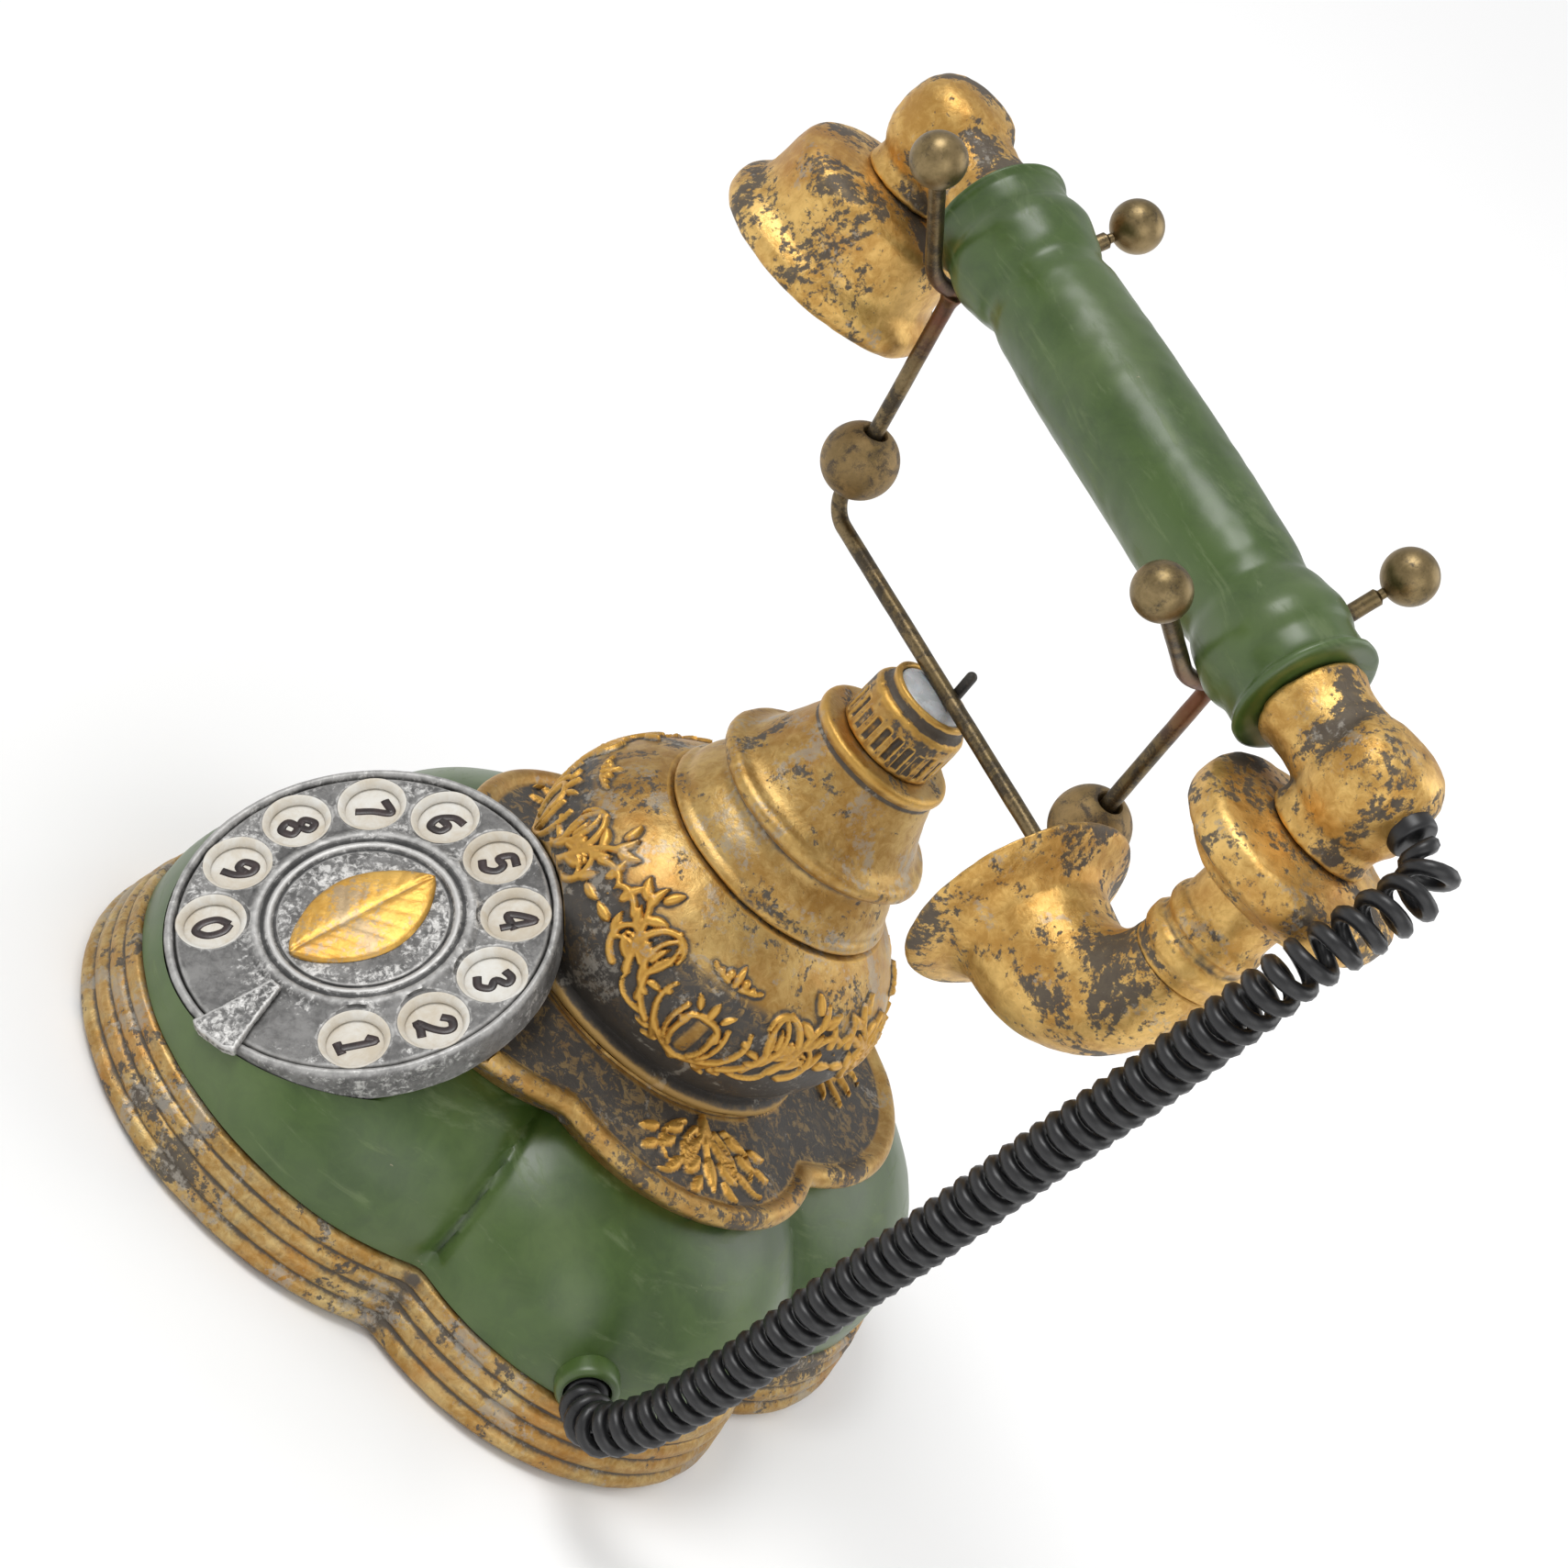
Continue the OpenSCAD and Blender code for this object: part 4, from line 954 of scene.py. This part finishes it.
def leafMotif(reach):
    # a spread leaf on one flap: x runs out from the turret, y across
    half = [curl((0, 0.3), 12, reach * 0.72, 2.2, 5.5, 1.0, 0.5), curl((2, 2.4), 52, 11, -2, -14, 0.9, 0.5),
        curl((7, 5.2), 40, 10, -4, 18, 0.8, 0.45), curl((1, 5), 78, 12, -4, -14, 0.8, 0.45)]
    half += leaves(((4, 1.6, 40, 6.2), (8, 2.4, 32, 6.6), (12, 2.8, 24, 6.0), (2, 5.5, 60, 5.5),
        (5, 8.0, 52, 6), (9, 7.5, 36, 5.6), (3, 11.5, 70, 5), (6.5, 12.5, 55, 4.6)), 1.35, 5, 0.95,
        reach / 19)
    whole = half + [[(x, -y, w, h) for x, y, w, h in stroke] for stroke in half]
    whole += [leafLobe((reach * 0.45, 0), 0, reach * 0.42, 1.7),
        curl((-1, 0), 0, reach * 0.6, 0, 0, 0.9, 0.7)]
    return whole


def makeCollar():
    share, begin = collar["share"], collar["leafFrom"]
    rows = [(np.full(around.shape, 20.0), collar["foot"])]
    rows.append((lobeReach(around, 8, share=share), collar["foot"]))
    rows += [(lobeReach(around, inset, share=share), z) for inset, z in eased(collar["edge"], 2, 0.5)]
    start = lobeReach(around, collar["edge"][-1][0], share=share)
    for s in np.linspace(0, 1, collar["rows"])[1:]:
        rows.append((start + (34.4 - start) * s, 53.1 + 3.6 * s ** 1.25))
    rows += [(np.full(around.shape, radius), z) for radius, z in collar["inner"]]
    points, faces = loft(rows, False)
    points = np.array(points)
    height, spread = np.zeros(len(points)), np.hypot(points[:, 0], points[:, 1])
    room = lobeReach(np.arctan2(points[:, 1], points[:, 0]) % (2 * pi), 4.2, share=share) - spread
    close = 0.55 * np.clip(room / 1.5, 0, 1) * np.clip((spread - 34.6) / 1.5, 0, 1) * (points[:, 2] > 52.9)
    for heading in collar["headings"]:
        away, radius = lobes["front"] if heading % 180 else lobes["side"]
        a = radians(heading)
        x = points[:, 0] * cos(a) + points[:, 1] * sin(a) - begin
        y = -points[:, 0] * sin(a) + points[:, 1] * cos(a)
        flap = (x > -3) & (np.hypot(x + begin, y) > 35.4) & (points[:, 2] > 52.9) & (np.abs(y) < 26)
        flap &= np.hypot(x + begin - away * share, y) < radius * share - 4.6
        found, near = reliefOn(np.stack([x, y], 1)[flap], leafMotif((away + radius) * share - begin - 4))
        height[flap], close[flap] = np.maximum(height[flap], found), np.maximum(close[flap], near)
    points[:, 2] += collar["relief"] * height + 0.12 * softNoise(points, 7, 12)
    piece = rawObject("leafCollar", (points, faces))
    storeRelief(piece, points, height, close)
    clearDial(piece)
    finished(piece, goldCollar, "base", "gold_resin", ["collar"], sharp=60)


makeCollar()
print("collar made")

turret = {
    "cone": [(0.01, 95), (25.2, 95), (25.9, 96), (25.3, 97.2), (24.3, 98), (23.8, 100), (22.4, 102.4),
        (20.8, 104.6), (20.4, 106), (21, 106.9), (22.8, 107.3), (23.7, 108.4), (23.7, 109.8), (22.8, 110.9),
        (21, 111.5), (19.6, 112.7), (18, 115.4), (16, 119.6), (14.6, 123.4), (14.1, 124.3), (14.6, 124.9),
        (15.05, 126), (14.8, 127), (13.6, 127.5), (0.01, 127.5)],
    "cap": [(0.01, 127.4), (10.4, 127.5), (10.6, 128.3), (10.6, 136.6), (10.1, 137.7), (8.9, 138.3),
        (8.6, 139), (8.9, 140.3), (8.6, 140.95), (7.5, 141), (7.2, 139.4), (0.01, 139.4)],
    "glue": [(0.01, 139.35), (7.2, 139.4), (7.35, 140.4), (6.2, 141.3), (3.5, 141.75), (0.01, 141.95)],
    "flutes": 24}


def flute(angle, radius, height):
    # upright grooves of uneven depth round the cap
    place = angle / (2 * pi) * turret["flutes"]
    which = np.floor(place).astype(int) % turret["flutes"]
    uneven = np.random.default_rng(4).uniform(0.35, 1.1, turret["flutes"])[which]
    groove = np.clip(1 - ((place % 1 - 0.5) / 0.27) ** 2, 0, 1) ** 0.5
    span = np.clip((height - 128.6) / 0.8, 0, 1) * np.clip((133.6 + uneven - height) / 1.0, 0, 1)
    return radius - 0.8 * uneven * groove * span * (radius > 10)


def makeTurretTop():
    cast("steppedCone", turret["cone"], 0.45, 240, None, (0.16, 8, 21, 0.05), goldTurret, "base",
        "gold_resin", ["turret_cone"])
    cast("flutedCap", turret["cap"], 0.35, 336, None, (0.1, 5, 22, 0.05), goldCap, "base", "gold_resin",
        ["turret_cap"], shape=flute, spread=1)
    cast("gluePlug", turret["glue"], 0.4, 96, None, (0.28, 3.5, 23), glueMilk, "base", "glue",
        ["glue_plug"])


makeTurretTop()


def filleted(points, radius, step=0.5):
    # rounds the corners of a line with true arcs
    points = [Vector(p) for p in points]
    line = [points[0]]
    for before, corner, after in zip(points, points[1:], points[2:]):
        a, b = (before - corner).normalized(), (after - corner).normalized()
        half = a.angle(b) / 2
        reach = radius / tan(half)
        middle = corner + (a + b).normalized() * (radius / sin(half))
        start, end = corner + a * reach, corner + b * reach
        for t in np.linspace(0, 1, 14):
            arm = (start - middle).lerp(end - middle, t).normalized() * radius
            line.append(middle + arm)
    line.append(points[-1])
    return spaced([tuple(p) for p in line], step)


def fromEnds(line, step=0.5):
    # how far each point of an evenly spaced line is from the nearer end
    return np.minimum(np.arange(len(line)), np.arange(len(line))[::-1]) * step


def makeCradle():
    height = cradle["upright"] / cos(radians(cradle["splay"])) - 0.8
    tops = [uprightFrame(i) @ Vector((0, 0, height)) for i in (0, 1)]
    line = filleted([tops[0], uprightFrame(0).translation, uprightFrame(1).translation, tops[1]],
        cradle["bend"])
    # a little weld fillet where each upright meets its yoke
    radii = cradle["wire"] + 0.65 * np.exp(-(fromEnds(line) / 1.5) ** 2)
    wire = rawObject("cradleWire", sweep(line, radii, 20))
    lumpy(wire, 0.04, 4, 31)
    finished(wire, brassWire, "base", "old_brass", ["cradle_wire"])
    radius, arm, ball, bead, bore = (cradle[k] for k in ("yokeRadius", "armLength", "ball", "bead", "bore"))
    a = radians(cradle["yokeTurn"])

    def armEnd(s, reach):
        out, up = radius * sin(a) + reach * cos(a), reach * sin(a) - radius * cos(a)
        return 0, s * out, up

    for i, side in enumerate(("left", "right")):
        arc = [(0, radius * sin(t), -radius * cos(t)) for t in np.linspace(-a, a, 40)]
        reach = arm - ball + 1.2
        path = spaced([armEnd(-1, reach)] + arc + [armEnd(1, reach)], 0.5)
        radii = np.where(fromEnds(path) < 2.4, 0.95, cradle["wire"])
        yoke = rawObject(side + "Yoke", sweep(path, radii, 20), yokeFrame(i))
        lumpy(yoke, 0.04, 4, 32 + i)
        finished(yoke, brassWire, "base", "old_brass", ["yoke_" + side], sharp=40)
        for s, end in ((-1, "front"), (1, "back")):
            outline = [(max(ball * sin(t), 0.01), -ball * cos(t)) for t in np.linspace(0, pi, 40)]
            place = yokeFrame(i) @ shifted(*armEnd(s, arm))
            piece = rawObject(side + end.capitalize() + "Ball", lathe(outline, 72), place)
            finished(piece, brassBall, "base", "old_brass", ["ball_%s_%s" % (side, end)])
        mouth = asin((bore + 0.35) / bead)
        outline = [(bead * sin(t), -bead * cos(t)) for t in np.linspace(mouth, pi - mouth, 40)]
        flat = bead * cos(mouth) - 0.3
        outline = spaced(outline + [(bore, flat), (bore, -flat)], 0.5, closed=True)
        place = uprightFrame(i) @ shifted(0, 0, cradle["beadUp"])
        piece = rawObject(side + "Bead", lathe(outline, 84, closed=True), place)
        finished(piece, beadPaint, "bead_" + side, "bead_gold", ["bead_" + side], sharp=60)


makeCradle()
print("turret top and cradle made")

dial = {
    "case": [(0.01, -8), (36.4, -8), (37, -7.5), (37, -0.8), (36.5, -0.1), (35.7, 0), (35.15, -0.5),
        (35.1, -3.4), (0.01, -3.4)],
    "plate": [(4.6, -3.38), (34.7, -3.38), (34.7, -2.6), (4.6, -2.6)],
    "wheel": [(3.2, -2.3), (34.7, -2.3), (34.8, -2.1), (34.8, -0.9), (34.3, -0.5), (21.9, -0.5), (21.3, 0),
        (20.3, 0.3), (19.4, 0.1), (19, -0.4), (18.6, -0.45), (18.2, 0), (17.4, 0.1), (16.9, -0.2),
        (16.5, -0.8), (3.2, -0.8)],
    "hub": [(0.01, -0.86), (16.2, -0.86), (16.3, -0.5), (15.9, -0.35), (0.01, -0.3)],
    "hole": [(0.01, -3.2), (5.8, -3.2), (5.85, -1.8), (6.1, -1.1), (6.5, -0.66), (7.3, -0.35), (7.3, 1.5),
        (0.01, 1.5)],
    "dot": [(0.01, -2.64), (6.3, -2.64), (6.3, -2.54), (0.01, -2.5)],
    "liner": [(5.25, -2.29), (5.35, -1.75), (5.75, -1.15), (6.25, -0.78), (6.65, -0.64), (6.8, -0.8),
        (6.2, -1.35), (5.9, -2.0), (5.86, -2.29)],
    "circle": 28.2, "first": 105, "step": 30, "stop": 147, "digit": 1.16, "slant": 0.12, "stroke": 0.86,
    "digitFoot": -2.52, "flatten": 0.22}
strokesOfDigits = {
    1: [[(-0.9, 2.0), (0.2, 3.0), (0.1, -2.4)], [(-1.2, -2.6), (1.3, -2.5)]],
    2: [[(-1.5, 1.6), (-0.6, 2.9), (1.0, 2.6), (1.3, 1.2), (0.2, -0.6), (-1.4, -2.3), (-0.2, -2.2),
        (1.6, -2.5)]],
    3: [[(-1.4, 2.4), (0.2, 2.9), (1.2, 1.8), (0.0, 0.4), (1.3, -0.9), (0.4, -2.5), (-1.5, -2.1)]],
    4: [[(0.7, -2.9), (0.8, 2.8), (-1.6, -0.7), (1.7, -0.8)]],
    5: [[(1.4, 2.6), (-0.9, 2.7), (-1.1, 0.5), (0.6, 0.6), (1.4, -0.9), (0.4, -2.5), (-1.5, -2.2)]],
    6: [[(1.1, 2.7), (-0.8, 1.6), (-1.4, -0.9), (-0.2, -2.5), (1.3, -1.5), (0.7, 0.1), (-1.1, -0.4)]],
    7: [[(-1.6, 2.5), (1.4, 2.6), (0.2, -0.2), (-0.5, -2.8)]],
    8: [[(0.1, 0.3), (-1.2, 1.4), (0.0, 2.8), (1.2, 1.6), (0.0, 0.2), (-1.4, -1.2), (0.0, -2.7),
        (1.4, -1.3), (0.1, 0.3)]],
    9: [[(1.1, 0.9), (-0.4, 0.1), (-1.3, 1.3), (0.0, 2.7), (1.3, 1.6), (1.0, -0.8), (-0.5, -2.7)]],
    0: [[(0.1, 2.8), (-1.4, 1.2), (-1.3, -1.3), (0.0, -2.7), (1.4, -1.2), (1.3, 1.3), (0.1, 2.8)]]}


def onDial(clockwise, radius):
    a = radians(90 - clockwise)
    return radius * cos(a), radius * sin(a)


def dialRing(name, source, material):
    # ten copies, the first one nearest the stop
    return ringOfCopies(name, source, 10, dial["circle"], dial["step"], 90 - dial["first"], material)


def makeDial():
    cast("dialCase", dial["case"], 0.6, 240, dialFrame, (0.12, 7, 41, 0.06), dialGrey, "base", "dial_grey",
        ["dial_case"])
    plate = rawObject("numberPlate", lathe(dial["plate"], 160, closed=True), dialFrame)
    finished(plate, dialGrey, "base", "digit_white", ["number_plate"], sharp=40)
    outline = eased(dial["wheel"], 1, 0.45, closed=True)
    wheel = inMillimetres("fingerWheel", lathe(outline, 288, closed=True))
    hole = inMillimetres("holeCutter", lathe(eased(dial["hole"], 1, 0.5), 64))
    cut(wheel, dialRing("holeRing", hole, dialGrey))
    placedMesh(wheel, dialFrame)
    lumpy(wheel, 0.05, 5, 42, fine=0.03)
    finished(wheel, dialGrey, "dial_wheel", "dial_grey", ["finger_wheel"], sharp=50)
    cast("wheelHub", dial["hub"], 0.4, 120, dialFrame, (0.1, 2.2, 43, 0.05), dialSilver, "dial_wheel",
        "silver_rub", ["center_disc"], rounds=1)
    dot = inMillimetres("dotSource", lathe(eased(dial["dot"], 1, 0.4), 48))
    finished(placedMesh(dialRing("digitDots", dot, dotWhite), dialFrame), dotWhite, "base", "digit_white")
    liner = inMillimetres("linerSource", lathe(eased(dial["liner"], 1, 0.3, closed=True), 56, closed=True))
    finished(placedMesh(dialRing("holeLiners", liner, dotWhite), dialFrame), dotWhite, "dial_wheel",
        "digit_white")
    parts, foot = [], dial["digitFoot"]
    for k in range(10):
        x, y = onDial(dial["first"] - dial["step"] * k, dial["circle"])
        for stroke in strokesOfDigits[(k + 1) % 10]:
            spots = [(x + a * dial["digit"], y + (b + dial["slant"] * a) * dial["digit"], foot)
                for a, b in stroke]
            line = curvy(spots, 0.25) if len(stroke) > 2 else spaced(spots, 0.25)
            points, faces = sweep(line, dial["stroke"], 10)
            parts.append(([(p[0], p[1], foot + (p[2] - foot) * dial["flatten"]) for p in points], faces))
    finished(rawObject("digitStrokes", joined(*parts), dialFrame), digitInk, "base", "digit_white")
    print("dial face made")


def prism(outline, low, high):
    n = len(outline)
    sides = [(i, (i + 1) % n, n + (i + 1) % n, n + i) for i in range(n)]
    points = [(x, y, z) for z in (low, high) for x, y in outline]
    return points, [tuple(range(n))[::-1], tuple(range(n, 2 * n))] + sides


fingerStop = {"tip": [(-1.3, -21.9), (1.3, -21.9), (3.2, -30), (5.3, -37.6), (-5.3, -37.6), (-3.2, -30)],
    "lug": [(-5.3, -37.1), (5.3, -37.1), (5.4, -37.9), (3.2, -38.7), (-3.2, -38.7), (-5.4, -37.9)],
    "tipHeights": (0.02, 1.3), "lugHeights": (-0.8, 1.3)}
emblem = {"rows": 64, "columns": 33, "long": 31.4, "wide": 10.0, "turn": 19, "foot": -0.28, "rise": 1.35,
    "veinDepth": 0.42, "veins": 17}


def makeStop():
    shape = joined(prism(fingerStop["tip"], *fingerStop["tipHeights"]),
        prism(fingerStop["lug"], *fingerStop["lugHeights"]))
    stop = rawObject("fingerStop", shape, dialFrame @ turn(180 - dial["stop"], "Z"))
    fused(stop, 0.28, 4)
    lumpy(stop, 0.12, 3, 44, fine=0.06)
    finished(stop, dialSilver, "base", "silver_rub", ["finger_stop"])


def makeLeaf():
    # a pointed leaf with a midrib and side veins
    rows, columns, points = emblem["rows"], emblem["columns"], []
    for i in range(rows):
        t = i / (rows - 1)
        half = emblem["wide"] * (sin(pi * t ** 0.92)) ** 0.75
        for j in range(columns):
            s = 2 * j / (columns - 1) - 1
            y = (t - 0.5) * emblem["long"] + 1.2 * abs(s) * sin(pi * t)
            wave = cos((t * emblem["veins"] - abs(s) * 3.2) * pi)
            sideVein = max(0, wave) ** 6 * (abs(s) > 0.08)
            vein = exp(-((abs(s) * half) / 0.55) ** 2) + 0.5 * sideVein
            edge = max(0, 1 - abs(s)) ** 0.35
            z = -0.2 + emblem["rise"] * min(1, edge * 1.1) - emblem["veinDepth"] * vein * edge
            points.append((s * half, y, z))
    top = len(points)
    points += [(x, y, emblem["foot"]) for x, y, _ in points[:]]
    faces = gridFaces(rows, columns, wrapColumns=False)
    faces += [tuple(v + top for v in f)[::-1] for f in faces[:]]
    border = [i * columns for i in range(rows)] + [(rows - 1) * columns + j for j in range(1, columns)]
    border += [i * columns + columns - 1 for i in range(rows - 2, -1, -1)] + list(range(columns - 2, 0, -1))
    faces += [(a, b, b + top, a + top) for a, b in zip(border, border[1:] + border[:1])]
    leaf = rawObject("leafEmblem", (points, faces), dialFrame @ turn(emblem["turn"], "Z"))
    lumpy(leaf, 0.08, 3, 45)
    finished(leaf, leafGold, "dial_wheel", "gold_resin", ["dial_emblem"], sharp=60)


makeDial()
makeStop()
makeLeaf()

handset = {
    "knob": 78.0, "earOut": 1.3, "hornDrop": 66.0, "hornBend": 19.5, "hornRim": 48.5,
    "grip": [(0.01, 58), (11.4, 58), (13, 57.8), (13.8, 57.1), (13.4, 56.3), (12.7, 55.8), (12.6, 51.2),
        (13.5, 49.4), (13.9, 46.6), (13.2, 43.4), (12.6, 40.4), (11.6, 38), (11.8, 35.6), (12.4, 33),
        (12.7, 20), (12.8, 0)],
    "dome": [(0.01, -9), (9.0, -8), (11.2, -3), (11.3, 2.5), (10.4, 6.6), (8.2, 9.6), (4.4, 11.2),
        (0.01, 11.4)],
    "neck": [(0.01, 57.9), (10.6, 58), (9.6, 61), (9.0, 65), (9.6, 70), (9.0, 78), (0.01, 78)],
    "cup": [(0.01, -12), (9.6, -12), (14, -12.8), (18.2, -14.4), (19.9, -16.6), (20.2, -25), (20.8, -27.4),
        (22.5, -29.2), (23.7, -31), (23.8, -33.4), (22.9, -34.9), (21.6, -34.9), (20.4, -33.6),
        (18.4, -28.6), (17.7, -26.4), (0.01, -26.4)],
    "disc": [(0.01, -12), (10.6, -12), (13.4, -13), (19.6, -14), (21, -15.6), (21.2, -19.4), (20.2, -21.2),
        (17, -22.4), (15.6, -24.8), (11.4, -26), (0.01, -26)],
    "tube": [(0.01, -25.6), (9.6, -25.8), (8.7, -28), (8.6, -33.4), (9.6, -34.6), (9.7, -36.6),
        (8.8, -37.8), (8.8, -39), (9.9, -40), (9.9, -42.2), (9, -43.4), (9, -46.4), (0.01, -46.4)],
    "earHoles": ((1, 0.0), (6, 5.0), (12, 10.0)), "mouthHoles": ((1, 0.0), (6, 3.8), (12, 7.6))}
earPlace = handFrame @ shifted(-handset["knob"] - handset["earOut"], 0, 0)
mouthPlace = handFrame @ shifted(handset["knob"], 0, 0)


def makeGrip():
    outline = handset["grip"] + [(r, -x) for r, x in handset["grip"][-2::-1]]
    cast("greenGrip", outline, 0.6, 144, handFrame @ turn(90, "Y"), (0.28, 13, 51, 0.07), green, "handset",
        "green_resin", ["grip"], spread=3)


def makeElbow(name, side, postRadius, nodes):
    post = [(0.01, -12), (postRadius + 0.9, -12), (postRadius, -10), (postRadius - 0.4, -6),
        (postRadius, 0), (0.01, 0)]
    up = shifted(side * handset["knob"], 0, 0)
    along = turn(0 if side > 0 else 180, "Z") @ turn(90, "Y")
    shapes = ((handset["dome"], 2, up), (handset["neck"], 2, along), (post, 1, up))
    parts = [moveMesh(lathe(eased(profile, rounds, 0.8), 72), place) for profile, rounds, place in shapes]
    elbow = rawObject(name, joined(*parts), handFrame)
    fused(elbow, 0.55, 10)
    lumpy(elbow, 0.3, 7, 52 + side, fine=0.1)
    finished(elbow, goldHandset, "handset", "gold_resin", nodes, spread=3)


def perforated(name, radius, low, high, rings, hole, place, nodes):
    plate = inMillimetres(name, lathe([(0.01, low), (radius, low), (radius, high), (0.01, high)], 96))
    pin = [(0.01, low - 1), (hole, low - 1), (hole, high + 1), (0.01, high + 1)]
    for k, (count, reach) in enumerate(rings):
        source = inMillimetres(name + "Pin", lathe(pin, 20))
        cut(plate, ringOfCopies("%sPins%d" % (name, k), source, count, reach, 360 / count, 0, dialGrey))
    placedMesh(plate, place)
    finished(plate, dialGrey, "handset", "dial_grey", nodes, sharp=35)


def makeHorn():
    # the skin runs along the bend, over the rim and back into the mouth
    bend, drop, lip, knobAt = (handset[k] for k in ("hornBend", "hornDrop", "hornRim", "knob"))
    arc = [(knobAt - bend + bend * cos(a), 0, bend - drop - bend * sin(a))
        for a in np.radians(np.linspace(0, 90, 40))]
    straight = [(x, 0, -drop) for x in np.linspace(58, lip, 20)]
    centre = spaced([(knobAt, 0, bend - drop + 0.6)] + arc + straight, 0.5)
    far = travelled(centre)
    total = far[-1]
    outside = [(0, 9.0), (4, 9.2), (10, 10.4), (18, 12.2), (26, 13.5), (32, 13.9), (total - 7, 14.0),
        (total - 4.6, 15.8), (total - 2.6, 19.8), (total - 1.2, 21.6), (total - 0.3, 21.9), (total, 21.4)]
    inside = [(total, 20.7), (total - 1.2, 19.8), (total - 4.4, 14), (total - 7, 11.6), (total - 15, 11.3)]
    skin = eased(outside + inside, 2, 0.5)
    rings, sides = [], 112
    angle = circle(sides)
    across = np.array([0.0, 1.0, 0.0])
    for s, r in skin:
        before, p, after = (np.array([np.interp(t, far, centre[:, k]) for k in range(3)])
            for t in (max(s - 0.4, 0), s, min(s + 0.4, total)))
        up = np.cross((after - before) / np.linalg.norm(after - before), across)
        rings.append(p + r * (np.cos(angle)[:, None] * across + np.sin(angle)[:, None] * up))
    skinMesh = capped(np.concatenate(rings), gridFaces(len(skin), sides), len(skin), sides)
    horn = rawObject("mouthHorn", skinMesh, handFrame)
    lumpy(horn, 0.28, 9, 58, fine=0.09)
    finished(horn, goldHandset, "handset", "gold_resin", ["mouth_horn"])


def makeEnds():
    looks = (goldHandset, "handset", "gold_resin")
    cast("earCup", handset["cup"], 0.5, 192, earPlace, (0.3, 11, 55, 0.09), *looks, ["ear_cup"])
    perforated("earGrille", 17.4, -28.3, -26.5, handset["earHoles"], 1.1, earPlace, ["ear_cap"])
    cast("mouthDisc", handset["disc"], 0.5, 160, mouthPlace, (0.3, 9, 56, 0.09), *looks, ["mouth_disc"])
    cast("mouthTube", handset["tube"], 0.4, 120, mouthPlace, (0.16, 5, 57, 0.06), *looks, ["mouth_tube"])
    makeHorn()
    mouth = handFrame @ shifted(handset["hornRim"] + 8.2, 0, -handset["hornDrop"]) @ turn(90, "Y")
    perforated("mouthGrille", 11.1, 0.1, 1.5, handset["mouthHoles"], 1.0, mouth, ["mouth_grille"])


makeGrip()
makeElbow("earElbow", -1, 9.0, ["ear_elbow"])
makeElbow("mouthElbow", 1, 9.6, ["mouth_elbow"])
makeEnds()
print("handset made")

glands = {"boss": [(4.3, 42), (6.1, 42), (6.25, 43), (6.25, 48.6), (6, 49.7), (5.2, 50.3), (4.3, 50.2)],
    "base": [(1.7, 44), (4.15, 44), (4.15, 50), (3.2, 50.5), (1.7, 50.4)],
    "hand": [(0.01, 0.2), (4.3, 0.2), (4.35, 4.0), (3.7, 4.7), (0.01, 4.75)], "handPlace": (86, 0, 2.1)}


def makeGlands():
    cast("cordBoss", glands["boss"], 0.35, 80, bossFrame, (0.12, 4, 61), green, "base", "green_resin",
        ["cord_boss"], closed=True)
    cast("baseGland", glands["base"], 0.3, 64, bossFrame, None, cordBlack, "base", "black_cord",
        ["base_cord_gland"], closed=True)
    cast("handGland", glands["hand"], 0.3, 64, handFrame @ shifted(*glands["handPlace"]) @ turn(90, "Y"),
        None, cordBlack, "handset", "black_cord", ["handset_cord_gland"])


makeGlands()

# nodes that stay as they are, with their own finish
carried = {"felt_pads": feltBlack, "cover_screws": steel, "bottom_cover": blackCover, "turret_rod": steel,
    "rod_nut": steel, "rod_washer": steel, "tie_pin": darkPin, "hub_cover": steel,
    "spindle_bush": bushBrass, "dial_spindle": steel, "return_spring": steel, "tie_rod": steel}
for name, material in carried.items():
    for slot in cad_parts[name].material_slots:
        slot.material = material

surroundings = {"floorSize": 8.0, "floorColor": (0.93, 0.93, 0.93, 1), "floorRoughness": 0.9}


def makeSurroundings():
    far = surroundings["floorSize"]
    mesh = bpy.data.meshes.new("floor")
    mesh.from_pydata([(-far, -far, 0), (far, -far, 0), (far, far, 0), (-far, far, 0)], [], [(0, 1, 2, 3)])
    paint = bpy.data.materials.new("floorPaint")
    paint.use_nodes = True
    shader = paint.node_tree.nodes["Principled BSDF"]
    shader.inputs["Base Color"].default_value = surroundings["floorColor"]
    shader.inputs["Roughness"].default_value = surroundings["floorRoughness"]
    mesh.materials.append(paint)
    linked("floor", mesh)
    world = bpy.data.worlds.new("paleSky")
    world.use_nodes = True
    sky = world.node_tree.nodes["Background"]
    sky.inputs["Color"].default_value = (1, 1, 1, 1)
    sky.inputs["Strength"].default_value = studio["sky"]
    bpy.context.scene.world = world
    bpy.context.scene.view_settings.view_transform = "Standard"


makeSurroundings()
print("scene ready")
